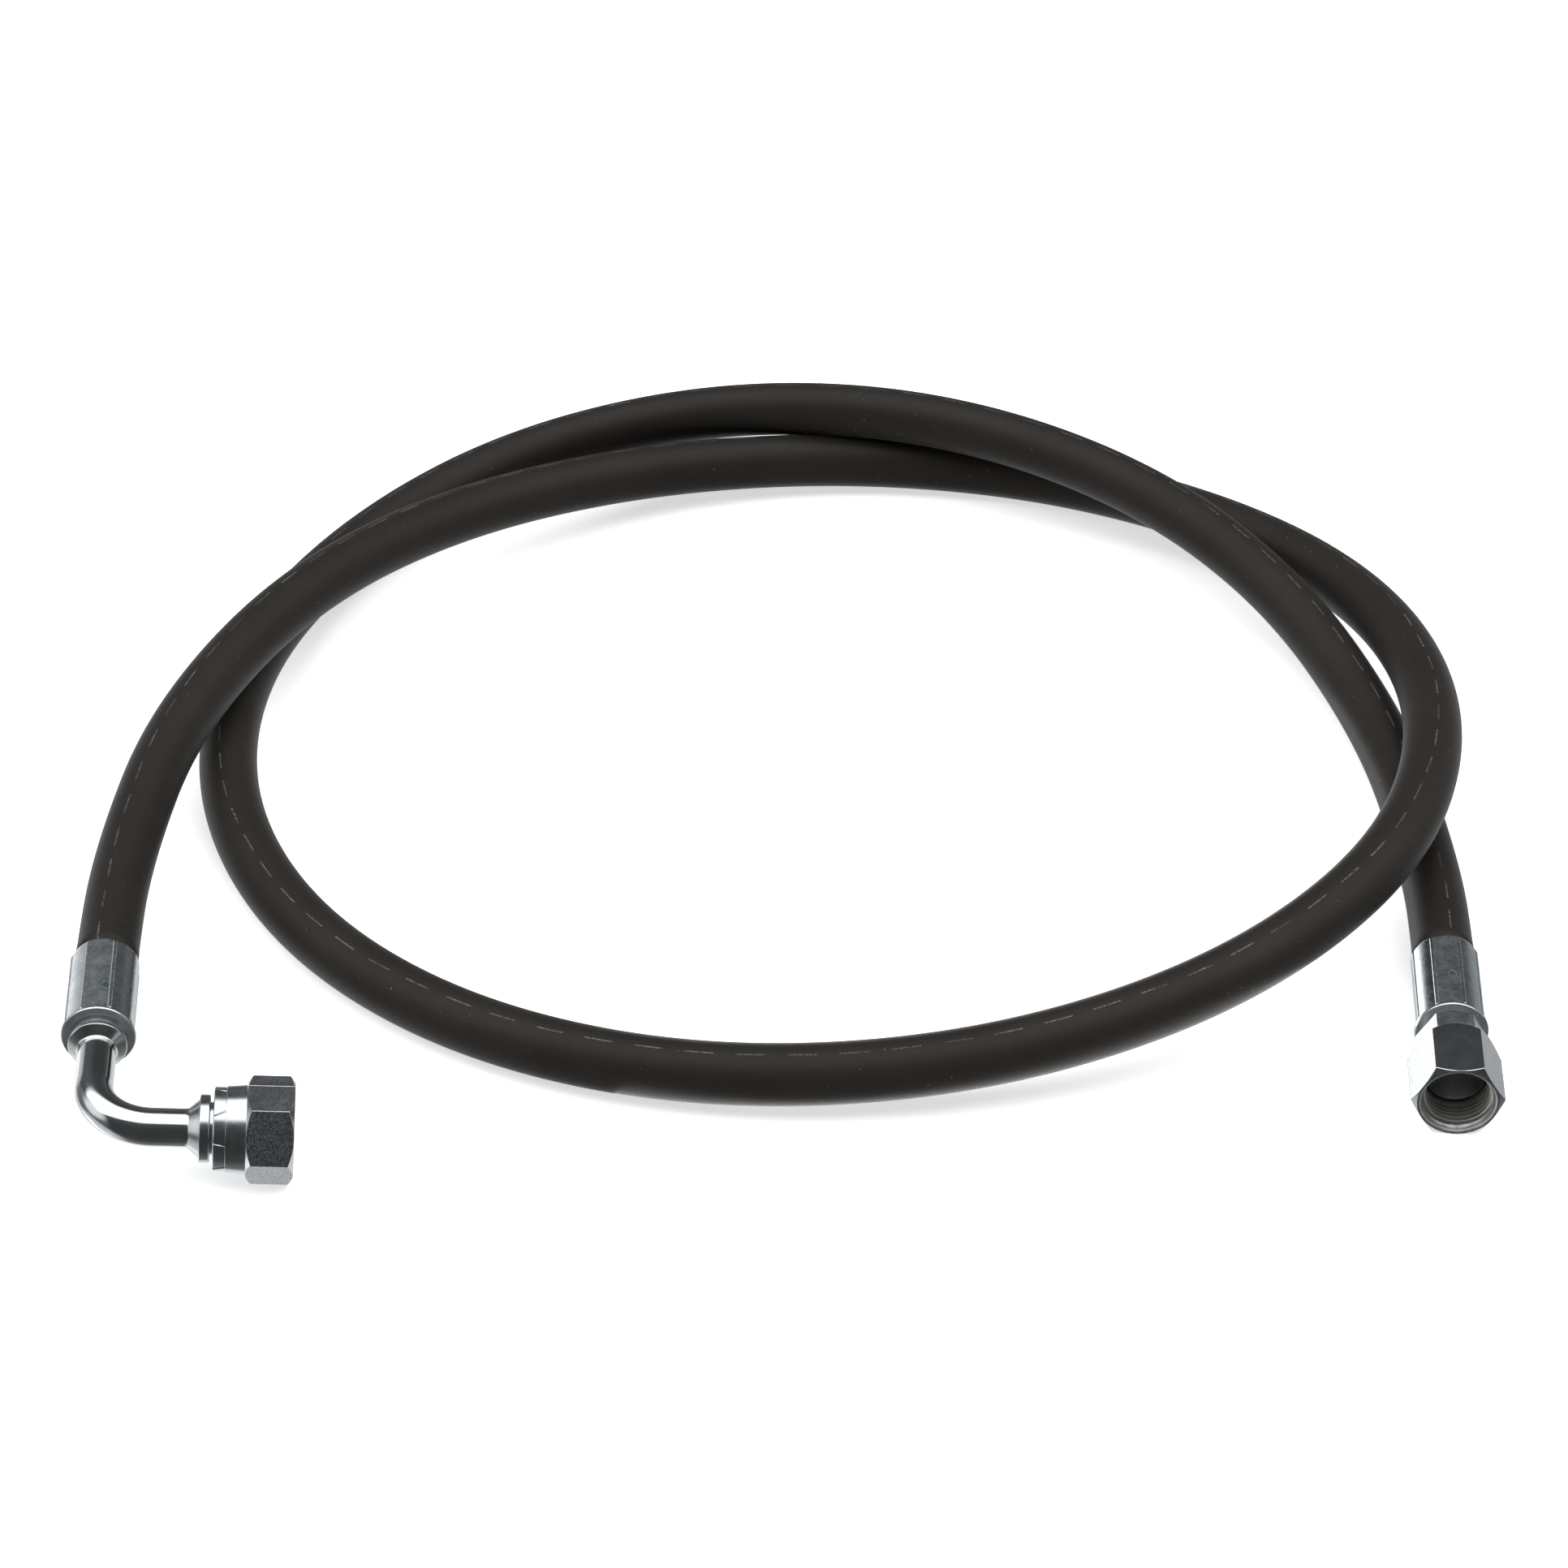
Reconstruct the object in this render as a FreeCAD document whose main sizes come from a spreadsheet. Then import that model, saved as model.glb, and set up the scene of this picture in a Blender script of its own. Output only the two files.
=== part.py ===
import FreeCAD, Part
import math
import os
import Sketcher

# Hydraulic hose assembly, laid down in a loose coil of about one and two
# thirds turns, standing on z = 0.  Millimetres, +Z up, X to the right and
# Y away from the two end fittings.  The origin is midway between the two
# fittings, at the middle of their bounding box, on the surface they lie on.
#
#   hose      3/8 in two wire braid hose: liner, two steel braids with a
#             separator between them, rubber cover
#   elbow end crimped ferrule, barbed tail, 90 degree bent tube brazed into
#             the tail and into the swivel head, crimp-retained 1 in nut
#   straight  crimped ferrule, one-piece stem with a hexagon, wire-retained
#             7/8 in swivel nut

V = FreeCAD.Vector
doc = FreeCAD.newDocument("hose_assembly")
sheet = doc.addObject("Spreadsheet::Sheet", "dims")
sheet.Label = "dims"

ROUTE = [
    (-184.68, 7.2601, 17.61), (-186.7727, 37.187, 17.61), (-187.72, 83.16, 18.9),
    (-178.22, 140.46, 27.1), (-148.02, 205.66, 29.9), (-103.02, 262.56, 22.3),
    (-42.22, 303.36, 13.0), (28.08, 317.16, 8.8), (98.08, 303.26, 8.8),
    (157.88, 260.66, 13.0), (189.88, 200.26, 21.6), (195.38, 130.16, 29.5),
    (174.18, 66.76, 29.6), (124.48, 20.96, 22.0), (56.18, -3.44, 13.7),
    (-18.42, -5.74, 9.5), (-86.02, 15.96, 8.8), (-137.92, 61.76, 8.9),
    (-166.32, 127.46, 8.8), (-165.32, 201.16, 8.9), (-134.12, 265.56, 11.2),
    (-84.12, 310.76, 15.8), (-17.52, 327.76, 22.4), (50.68, 314.06, 27.0),
    (112.78, 277.26, 25.2), (156.68, 225.86, 18.2), (182.38, 156.26, 10.5),
    (188.08, 87.36, 9.9), (186.2516, 46.8241, 11.28), (184.2947, 16.888, 11.28),
]

DIMS = [
    # hose layers, diameters from the outside in
    ("hose_od", 17.2), ("outer_braid_od", 14.9), ("separator_od", 13.8),
    ("inner_braid_od", 13.4), ("liner_od", 12.4), ("hose_bore", 9.5),
    ("crimped_cover_od", 15.7), ("arc_share", 0.45),
    # elbow end frame: corner of the two tube axes, heading, nose-down angle
    ("corner_x", -181.82), ("corner_y", -33.64), ("corner_z", 17.61),
    ("elbow_yaw", 4.0), ("elbow_dip", 5.3),
    ("elbow_reach", 47.4), ("bend_radius", 16.5),
    ("pipe_od", 10.4), ("pipe_bore", 7.2),
    # straight end frame: centre of the nut's mouth, heading
    ("mouth_x", 182.09), ("mouth_y", -16.84), ("mouth_z", 11.28),
    ("straight_yaw", 3.74),
    # ferrules, both alike; their stations count from a plane on the collar
    ("ferrule_len", 34.5), ("ferrule_od", 19.5),
    ("lip_od", 20.3), ("lip_len", 3.4), ("lip_face", 2.25),
    ("groove_od", 12.8), ("flange_end", 3.6),
    ("hose_seat", 6.6), ("ferrule_at_elbow", 34.4), ("ferrule_at_straight", 27.2),
    # eight crimped faces, each an arc between two narrow ridges
    ("jaw_count", 8.0), ("jaw_edge_od", 19.0), ("jaw_half", 19.0),
    ("jaw_radius", 13.2), ("jaw_turn", 5.0), ("taper_len", 1.6), ("taper_drop", 0.75),
    # barbed tails
    ("shoulder_od", 16.0), ("cone_step", 0.5), ("cone_front", 3.2), ("cone_back", 1.4), ("collar_od", 14.4), ("barb_od", 9.5),
    ("barb_root", 8.7), ("tail_bore", 6.4), ("tail_len", 32.6),
    ("barb_pitch", 4.4),
    # elbow swivel head and nut
    ("head_cone_start", 26.05), ("head_collar_od", 18.1), ("head_collar_len", 2.8),
    ("head_cone_len", 2.65), ("head_cone_top", 15.2), ("neck_od", 14.2),
    ("head_od", 19.8), ("seat_half_angle", 37.0), ("seat_od", 18.0),
    ("big_relief", 22.4), ("big_relief_len", 1.9),
    ("big_hex", 25.4), ("big_hex_len", 12.6), ("big_thread_bore", 20.4),
    ("band_od", 22.3), ("band_len", 3.5), ("skirt_od", 23.65),
    ("band_flat", 21.9), ("tail_gap", 0.9), ("big_chamfer", 1.35),
    ("head_bore_nut", 20.0),
    # straight stem and nut
    ("small_hex", 22.1), ("small_hex_len", 20.3), ("small_thread_bore", 17.45),
    ("small_relief", 19.2), ("small_relief_len", 1.9), ("small_mouth", 20.8),
    ("stem_hex", 17.5), ("stem_head_od", 16.8), ("stem_nut_bore", 17.0),
    ("stem_seat_od", 16.2), ("small_nut_turn", -2.0),
    ("stem_neck_od", 13.6), ("wire_dia", 1.6), ("small_front_chamfer", 1.3),
    ("small_rear_chamfer", 2.3), ("stem_gap", 0.6), ("seat_depth", 11.0),
]
row = 1
for alias, value in DIMS:
    sheet.set("A%d" % row, alias)
    sheet.set("B%d" % row, repr(float(value)))
    sheet.setAlias("B%d" % row, alias)
    row += 1
for k, point in enumerate(ROUTE):
    for letter, value in zip("xyz", point):
        alias = "route%02d_%s" % (k, letter)
        sheet.set("A%d" % row, alias)
        sheet.set("B%d" % row, repr(float(value)))
        sheet.setAlias("B%d" % row, alias)
        row += 1
doc.recompute()


def dim(alias):
    return float(getattr(sheet, alias))


# ---------------------------------------------------------------- frames
def frame(origin, z_axis, x_hint):
    z = V(*z_axis).normalize()
    x = V(*x_hint)
    x = (x - z * x.dot(z)).normalize()
    y = z.cross(x)
    return FreeCAD.Placement(V(*origin), FreeCAD.Rotation(x, y, z, "ZXY"))


yaw = math.radians(dim("elbow_yaw"))
dip = math.radians(dim("elbow_dip"))
corner = V(dim("corner_x"), dim("corner_y"), dim("corner_z"))
nut_dir = V(math.cos(yaw) * math.cos(dip), math.sin(yaw) * math.cos(dip), -math.sin(dip))
leg_dir = V(-math.sin(yaw), math.cos(yaw), 0)
elbow_up = nut_dir.cross(leg_dir)

yaw2 = math.radians(dim("straight_yaw"))
mouth = V(dim("mouth_x"), dim("mouth_y"), dim("mouth_z"))
hose_dir = V(math.sin(yaw2), math.cos(yaw2), 0)      # from the mouth to the hose
up = V(0, 0, 1)

# Local frames: Z along the piece's own axis, X towards the top.
LEG = frame(corner, leg_dir, elbow_up)               # from the corner to the hose
HEAD = frame(corner, nut_dir, elbow_up)              # from the corner to the mouth
STRAIGHT = frame(mouth, hose_dir, up)                # from the mouth to the hose
ELBOW = FreeCAD.Placement(corner, FreeCAD.Rotation(nut_dir, leg_dir, elbow_up, "ZXY"))

NODES = {}


def plane_of(body, role):
    for feature in body.Origin.OriginFeatures:
        if feature.Role == role:
            return feature
    raise RuntimeError(role)


def profile(body, name, points):
    """Closed polygon in the body's XZ plane; each point is (radius, station),
    both expressions over the sheet."""
    sketch = body.newObject("Sketcher::SketchObject", name)
    sketch.AttachmentSupport = [(plane_of(body, "XZ_Plane"), "")]
    sketch.MapMode = "FlatFace"
    values = []
    for radius, station in points:
        values.append((evaluate(radius), evaluate(station)))
    count = len(points)
    for k in range(count):
        a, b = values[k], values[(k + 1) % count]
        sketch.addGeometry(Part.LineSegment(V(a[0], a[1], 0), V(b[0], b[1], 0)), False)
    for k in range(count):
        sketch.addConstraint(Sketcher.Constraint("Coincident", k, 2, (k + 1) % count, 1))
    for k, (radius, station) in enumerate(points):
        index = sketch.addConstraint(Sketcher.Constraint("DistanceX", -1, 1, k, 1, values[k][0]))
        sketch.setExpression("Constraints[%d]" % index, radius)
        index = sketch.addConstraint(Sketcher.Constraint("DistanceY", -1, 1, k, 1, values[k][1]))
        sketch.setExpression("Constraints[%d]" % index, station)
    sketch.Visibility = False
    return sketch


def evaluate(text):
    result = sheet.evalExpression(text.replace("dims.", ""))
    return float(getattr(result, "Value", result))


def turned(body, name, points, kind="Revolution"):
    sketch = profile(body, name + "_profile", points)
    feature = body.newObject("PartDesign::" + kind, name)
    feature.Profile = sketch
    feature.ReferenceAxis = (sketch, ["V_Axis"])
    feature.Angle = 360.0
    doc.recompute()
    return feature


def new_body(node):
    body = doc.addObject("PartDesign::Body", node)
    body.Label = node
    return body


def keep(node, obj, placement=None):
    obj.Label = node
    if placement is not None:
        obj.Placement = placement
    NODES[node] = obj
    return obj


def polygon_pad(body, name, sides, across_flats, start, length, turn=0.0):
    """A regular prism along the body's axis, a flat towards local +X."""
    sketch = body.newObject("Sketcher::SketchObject", name + "_outline")
    sketch.AttachmentSupport = [(plane_of(body, "XY_Plane"), "")]
    sketch.MapMode = "FlatFace"
    sketch.setExpression("AttachmentOffset.Base.z", start)
    half = evaluate(across_flats) / 2.0
    radius = half / math.cos(math.pi / sides)
    corners = []
    for k in range(sides):
        angle = math.pi / sides + 2 * math.pi * k / sides + turn
        corners.append(V(radius * math.cos(angle), radius * math.sin(angle), 0))
    for k in range(sides):
        sketch.addGeometry(Part.LineSegment(corners[k], corners[(k + 1) % sides]), False)
    circle = sketch.addGeometry(Part.Circle(V(0, 0, 0), V(0, 0, 1), half), True)
    sketch.addConstraint(Sketcher.Constraint("Coincident", circle, 3, -1, 1))
    for k in range(sides):
        sketch.addConstraint(Sketcher.Constraint("Coincident", k, 2, (k + 1) % sides, 1))
        sketch.addConstraint(Sketcher.Constraint("Tangent", k, circle))
    for k in range(1, sides):
        sketch.addConstraint(Sketcher.Constraint("Equal", 0, k))
    sketch.addConstraint(Sketcher.Constraint("Vertical", sides - 1))
    index = sketch.addConstraint(Sketcher.Constraint("Diameter", circle, 2 * half))
    sketch.setExpression("Constraints[%d]" % index, across_flats)
    pad = body.newObject("PartDesign::Pad", name)
    pad.Profile = sketch
    pad.setExpression("Length", length)
    doc.recompute()
    return pad


# ------------------------------------------------------------------ hose
points = [V(dim("route%02d_x" % k), dim("route%02d_y" % k), dim("route%02d_z" % k))
          for k in range(len(ROUTE))]
share = dim("arc_share")
edges = []
radii = []
length = 0.0
position = points[0]
for k in range(1, len(points) - 1):
    before = points[k] - points[k - 1]
    after = points[k + 1] - points[k]
    shorter = min(before.Length, after.Length)
    turn = before.getAngle(after)
    radius = share * shorter / math.tan(turn / 2.0)
    tangent = share * shorter
    start = points[k] - before.normalize() * tangent
    end = points[k] + after.normalize() * tangent
    back = (start + end) * 0.5 - points[k]
    centre = points[k] + back.normalize() * (radius / math.cos(turn / 2.0))
    middle = centre + (points[k] - centre).normalize() * radius
    edges.append(Part.LineSegment(position, start).toShape())
    edges.append(Part.Arc(start, middle, end).toShape())
    length += (start - position).Length + radius * turn
    position = end
    radii.append((k, radius, math.degrees(turn)))
edges.append(Part.LineSegment(position, points[-1]).toShape())
length += (points[-1] - position).Length
route_wire = Part.Wire(edges)
start_dir = (points[1] - points[0]).normalize()
end_dir = (points[-1] - points[-2]).normalize()
for k, radius, turn in radii:
    print("arc at point %2d: radius %6.1f mm, turn %4.1f degrees, %4.1f diameters"
          % (k, radius, turn, radius / dim("hose_od")))
print("hose length between its two cut ends: %.1f mm" % length)


def hose_layer(node, outer, inner):
    solids = []
    for alias in (outer, inner):
        circle = Part.Circle(points[0], start_dir, dim(alias) / 2.0)
        disc = Part.Face(Part.Wire(circle.toShape()))
        solids.append(route_wire.makePipe(disc))
    feature = doc.addObject("Part::Feature", node + "_sweep")
    feature.Shape = solids[0].cut(solids[1])
    section = math.pi / 4.0 * (dim(outer) ** 2 - dim(inner) ** 2)
    print("%s: volume %.0f mm3, section times length %.0f mm3"
          % (node, feature.Shape.Volume, section * length))
    if abs(feature.Shape.Volume / (section * length) - 1.0) > 0.002:
        raise RuntimeError("swept volume of " + node)
    return feature


cover_sweep = hose_layer("hose_cover", "hose_od", "outer_braid_od")


def squeeze_ring(name, at, direction):
    """The rubber that the crimped ferrule squeezes out of the way."""
    outer = doc.addObject("Part::Cylinder", name + "_outer")
    outer.setExpression("Radius", "dims.hose_od / 2 + 1")
    outer.setExpression("Height", "dims.ferrule_len - dims.hose_seat + 1")
    inner = doc.addObject("Part::Cylinder", name + "_inner")
    inner.setExpression("Radius", "dims.crimped_cover_od / 2")
    inner.setExpression("Height", "dims.ferrule_len - dims.hose_seat + 1")
    ring = doc.addObject("Part::Cut", name)
    ring.Base = outer
    ring.Tool = inner
    ring.Placement = FreeCAD.Placement(at - direction * 1.0, FreeCAD.Rotation(V(0, 0, 1), direction))
    return ring


squeeze_a = squeeze_ring("squeeze_elbow", points[0], leg_dir)
squeeze_b = squeeze_ring("squeeze_straight", points[-1], hose_dir)
cover_a = doc.addObject("Part::Cut", "cover_cut_a")
cover_a.Base = cover_sweep
cover_a.Tool = squeeze_a
cover_b = doc.addObject("Part::Cut", "cover_cut_b")
cover_b.Base = cover_a
cover_b.Tool = squeeze_b
keep("hose_cover", cover_b)
keep("outer_wire_braid", hose_layer("outer_wire_braid", "outer_braid_od", "separator_od"))
keep("braid_separator", hose_layer("braid_separator", "separator_od", "inner_braid_od"))
keep("inner_wire_braid", hose_layer("inner_wire_braid", "inner_braid_od", "liner_od"))
keep("hose_liner", hose_layer("hose_liner", "liner_od", "hose_bore"))


# -------------------------------------------------------------- ferrules
def ferrule(node, start):
    """start is the expression of the fitting end's station on the axis."""
    body = new_body(node)
    s = start
    turned(body, node + "_shell", [
        ("dims.groove_od / 2", s + " + dims.lip_face"),
        ("dims.lip_od / 2 - 0.4", s + " + dims.lip_face"),
        ("dims.lip_od / 2 - 0.1", s + " + dims.lip_face + 0.2"),
        ("dims.lip_od / 2", s + " + dims.lip_face + 0.55"),
        ("dims.lip_od / 2", s + " + dims.lip_len + 0.1"),
        ("dims.lip_od / 2 - 0.17", s + " + dims.lip_len + 0.35"),
        ("dims.ferrule_od / 2", s + " + dims.lip_len + 0.5"),
        ("dims.ferrule_od / 2", s + " + dims.ferrule_len - dims.taper_len"),
        ("dims.ferrule_od / 2 - dims.taper_drop", s + " + dims.ferrule_len"),
        ("dims.crimped_cover_od / 2", s + " + dims.ferrule_len"),
        ("dims.crimped_cover_od / 2", s + " + dims.flange_end"),
        ("dims.groove_od / 2", s + " + dims.flange_end"),
    ])
    # one crimped face, an arc and two radial sides, repeated round the shell
    sketch = body.newObject("Sketcher::SketchObject", node + "_jaw_outline")
    sketch.AttachmentSupport = [(plane_of(body, "XY_Plane"), "")]
    sketch.MapMode = "FlatFace"
    sketch.setExpression("AttachmentOffset.Base.z", s + " + dims.lip_len + 0.6")
    half = math.radians(dim("jaw_half"))
    x0, y0 = dim("jaw_edge_od") / 2 * math.cos(half), dim("jaw_edge_od") / 2 * math.sin(half)
    reach = dim("ferrule_od") / 2 + 1.2
    x1, y1 = reach * math.cos(half), reach * math.sin(half)
    big = dim("jaw_radius")
    middle = V(x0 - math.sqrt(big * big - y0 * y0), 0, 0)
    swing = math.asin(y0 / big)
    sketch.addGeometry(Part.ArcOfCircle(Part.Circle(middle, V(0, 0, 1), big), -swing, swing), False)
    sketch.addGeometry(Part.LineSegment(V(x0, y0, 0), V(x1, y1, 0)), False)
    sketch.addGeometry(Part.LineSegment(V(x1, y1, 0), V(x1, -y1, 0)), False)
    sketch.addGeometry(Part.LineSegment(V(x1, -y1, 0), V(x0, -y0, 0)), False)
    sketch.addConstraint(Sketcher.Constraint("Coincident", 0, 2, 1, 1))
    sketch.addConstraint(Sketcher.Constraint("Coincident", 1, 2, 2, 1))
    sketch.addConstraint(Sketcher.Constraint("Coincident", 2, 2, 3, 1))
    sketch.addConstraint(Sketcher.Constraint("Coincident", 3, 2, 0, 1))
    index = sketch.addConstraint(Sketcher.Constraint("Radius", 0, big))
    sketch.setExpression("Constraints[%d]" % index, "dims.jaw_radius")
    edge = "dims.jaw_edge_od / 2"
    far = "(dims.ferrule_od / 2 + 1.2)"
    for line, end, radius, x, y in ((1, 1, edge, x0, y0), (1, 2, far, x1, y1)):
        index = sketch.addConstraint(Sketcher.Constraint("DistanceX", -1, 1, line, end, x))
        sketch.setExpression("Constraints[%d]" % index, radius + " * cos(dims.jaw_half * 1 deg)")
        index = sketch.addConstraint(Sketcher.Constraint("DistanceY", -1, 1, line, end, y))
        sketch.setExpression("Constraints[%d]" % index, radius + " * sin(dims.jaw_half * 1 deg)")
    for line, end, radius, x, y in ((3, 2, edge, x0, y0), (3, 1, far, x1, y1)):
        index = sketch.addConstraint(Sketcher.Constraint("DistanceX", -1, 1, line, end, x))
        sketch.setExpression("Constraints[%d]" % index, radius + " * cos(dims.jaw_half * 1 deg)")
        index = sketch.addConstraint(Sketcher.Constraint("DistanceY", line, end, -1, 1, y))
        sketch.setExpression("Constraints[%d]" % index, radius + " * sin(dims.jaw_half * 1 deg)")
    before = body.Shape.Volume
    pocket = body.newObject("PartDesign::Pocket", node + "_jaw")
    pocket.Profile = sketch
    pocket.Reversed = True
    pocket.setExpression("Length", "dims.ferrule_len - dims.lip_len - 0.6 + 1")
    doc.recompute()
    pattern = body.newObject("PartDesign::PolarPattern", node + "_jaws")
    pattern.Originals = [pocket]
    pattern.Axis = (sketch, ["N_Axis"])
    pattern.Angle = 360.0
    pattern.Occurrences = int(dim("jaw_count"))
    body.Tip = pattern
    doc.recompute()
    print("%s: crimped faces take away %.1f mm3" % (node, before - body.Shape.Volume))
    if before - body.Shape.Volume < 50:
        raise RuntimeError("crimped faces of " + node)
    return body


def rolled(placement, degrees):
    """The placement turned about its own axis."""
    return placement.multiply(FreeCAD.Placement(V(0, 0, 0), FreeCAD.Rotation(V(0, 0, 1), degrees)))


elbow_ferrule = ferrule("elbow_ferrule", "dims.ferrule_at_elbow")
keep("elbow_ferrule", elbow_ferrule, rolled(LEG, -dim("jaw_turn")))
straight_ferrule = ferrule("straight_ferrule", "dims.ferrule_at_straight")
keep("straight_ferrule", straight_ferrule, rolled(STRAIGHT, -dim("jaw_turn")))


# ----------------------------------------------------- barbed hose tails
def barb_points(start, count):
    """Rings that bite the liner, from the collar to the tip."""
    rows = []
    for k in range(count):
        base = "%s + %d * dims.barb_pitch" % (start, k)
        rows += [
            ("dims.barb_root / 2", base + " + 0.8"),
            ("dims.barb_root / 2", base + " + dims.barb_pitch - 1.6"),
            ("dims.barb_od / 2", base + " + dims.barb_pitch - 1.5"),
            ("dims.barb_od / 2", base + " + dims.barb_pitch - 0.9"),
        ]
    return rows


BARBS = 5
f = "dims.ferrule_at_elbow"
tail = new_body("elbow_hose_tail")
turned(tail, "elbow_tail_turned", [
    ("dims.pipe_od / 2", f + " - dims.cone_front"),
    ("dims.pipe_od / 2 + dims.cone_step", f + " - dims.cone_front"),
    ("dims.shoulder_od / 2 - 0.25", f + " - dims.cone_back - 0.28"),
    ("dims.shoulder_od / 2", f + " - dims.cone_back"),
    ("dims.shoulder_od / 2", f + " + dims.lip_face"),
    ("dims.groove_od / 2", f + " + dims.lip_face"),
    ("dims.groove_od / 2", f + " + dims.flange_end"),
    ("dims.collar_od / 2", f + " + dims.flange_end"),
    ("dims.collar_od / 2", f + " + dims.hose_seat"),
    ("dims.barb_od / 2", f + " + dims.hose_seat"),
] + barb_points(f + " + dims.hose_seat", BARBS) + [
    ("dims.barb_root / 2 - 0.5", f + " + dims.hose_seat + dims.tail_len - 7"),
    ("dims.tail_bore / 2", f + " + dims.hose_seat + dims.tail_len - 7"),
    ("dims.tail_bore / 2", f + " + 4.4"),
    ("dims.pipe_od / 2", f + " + 4.4"),
])
keep("elbow_hose_tail", tail, LEG)


# ------------------------------------------------------------ bent pipe
def bent(name, diameter, extra):
    leg = doc.addObject("Part::Cylinder", name + "_leg")
    leg.setExpression("Radius", diameter + " / 2")
    leg.setExpression("Height", "dims.ferrule_at_elbow + 4.4 - dims.bend_radius" + extra)
    leg.Placement = FreeCAD.Placement(V(0, dim("bend_radius"), 0), FreeCAD.Rotation(V(0, 0, 1), V(0, 1, 0)))
    leg.setExpression("Placement.Base.y", "dims.bend_radius")
    arm = doc.addObject("Part::Cylinder", name + "_arm")
    arm.setExpression("Radius", diameter + " / 2")
    arm.setExpression("Height", "dims.head_cone_start + 3.6 - dims.bend_radius" + extra)
    arm.Placement = FreeCAD.Placement(V(dim("bend_radius"), 0, 0), FreeCAD.Rotation(V(0, 0, 1), V(1, 0, 0)))
    arm.setExpression("Placement.Base.x", "dims.bend_radius")
    bend = doc.addObject("Part::Torus", name + "_bend")
    bend.setExpression("Radius1", "dims.bend_radius")
    bend.setExpression("Radius2", diameter + " / 2")
    bend.Angle3 = 90
    bend.Placement = FreeCAD.Placement(V(dim("bend_radius"), dim("bend_radius"), 0),
                                       FreeCAD.Rotation(V(0, 0, 1), 180))
    bend.setExpression("Placement.Base.x", "dims.bend_radius")
    bend.setExpression("Placement.Base.y", "dims.bend_radius")
    whole = doc.addObject("Part::MultiFuse", name)
    whole.Shapes = [leg, bend, arm]
    return whole


pipe_out = bent("pipe_outside", "dims.pipe_od", "")
pipe_in = bent("pipe_inside", "dims.pipe_bore", " + 1")
pipe = doc.addObject("Part::Cut", "elbow_pipe")
pipe.Base = pipe_out
pipe.Tool = pipe_in
keep("elbow_pipe", pipe, ELBOW)

# braze fillets, small rings where the pipe enters the tail and the head
tail_braze = new_body("tail_braze_fillet")
turned(tail_braze, "tail_braze_turned", [
    ("dims.pipe_od / 2", f + " - dims.cone_front - 0.8"),
    ("dims.pipe_od / 2 + 0.1", f + " - dims.cone_front - 0.8"),
    ("dims.pipe_od / 2 + 0.25", f + " - dims.cone_front - 0.45"),
    ("dims.pipe_od / 2 + dims.cone_step", f + " - dims.cone_front"),
    ("dims.pipe_od / 2", f + " - dims.cone_front"),
])
keep("tail_braze_fillet", tail_braze, LEG)

head_braze = new_body("head_braze_fillet")
turned(head_braze, "head_braze_turned", [
    ("dims.pipe_od / 2", "dims.head_cone_start - 0.7"),
    ("dims.pipe_od / 2 + 0.1", "dims.head_cone_start - 0.7"),
    ("dims.pipe_od / 2 + 0.2", "dims.head_cone_start - 0.3"),
    ("dims.pipe_od / 2 + 0.35", "dims.head_cone_start"),
    ("dims.pipe_od / 2", "dims.head_cone_start"),
])
keep("head_braze_fillet", head_braze, HEAD)

# ------------------------------------------------- elbow swivel head, nut
# Stations from the corner along the nut's axis.
COLLAR0 = "(dims.head_cone_start + dims.head_cone_len)"
COLLAR1 = "(dims.head_cone_start + dims.head_cone_len + dims.head_collar_len)"
NUT0 = "(%s + dims.tail_gap)" % COLLAR1
NUT1 = "(dims.elbow_reach + dims.big_hex_len / 2)"
HEX0 = "(dims.elbow_reach - dims.big_hex_len / 2)"
FACE = "(%s - 11.4)" % NUT1
head = new_body("elbow_swivel_head")
turned(head, "elbow_head_turned", [
    ("dims.pipe_od / 2", "dims.head_cone_start"),
    ("dims.pipe_od / 2 + 0.4", "dims.head_cone_start"),
    ("dims.head_cone_top / 2", COLLAR0),
    ("dims.head_collar_od / 2 - 0.15", COLLAR0),
    ("dims.head_collar_od / 2", COLLAR0 + " + 0.15"),
    ("dims.head_collar_od / 2", COLLAR1 + " - 0.15"),
    ("dims.head_collar_od / 2 - 0.15", COLLAR1),
    ("dims.neck_od / 2", COLLAR1),
    ("dims.neck_od / 2", NUT0 + " + 1.4"),
    ("dims.head_od / 2", NUT0 + " + 1.4 + dims.head_od / 2 - dims.neck_od / 2"),
    ("dims.head_od / 2", FACE + " - 0.7"),
    ("dims.head_od / 2 - 0.7", FACE),
    ("dims.seat_od / 2", FACE),
    ("dims.pipe_bore / 2", FACE + " - (dims.seat_od - dims.pipe_bore) / 2 / tan(dims.seat_half_angle * 1 deg)"),
    ("dims.pipe_bore / 2", "dims.head_cone_start + 3.6"),
    ("dims.pipe_od / 2", "dims.head_cone_start + 3.6"),
])
keep("elbow_swivel_head", head, HEAD)

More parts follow.
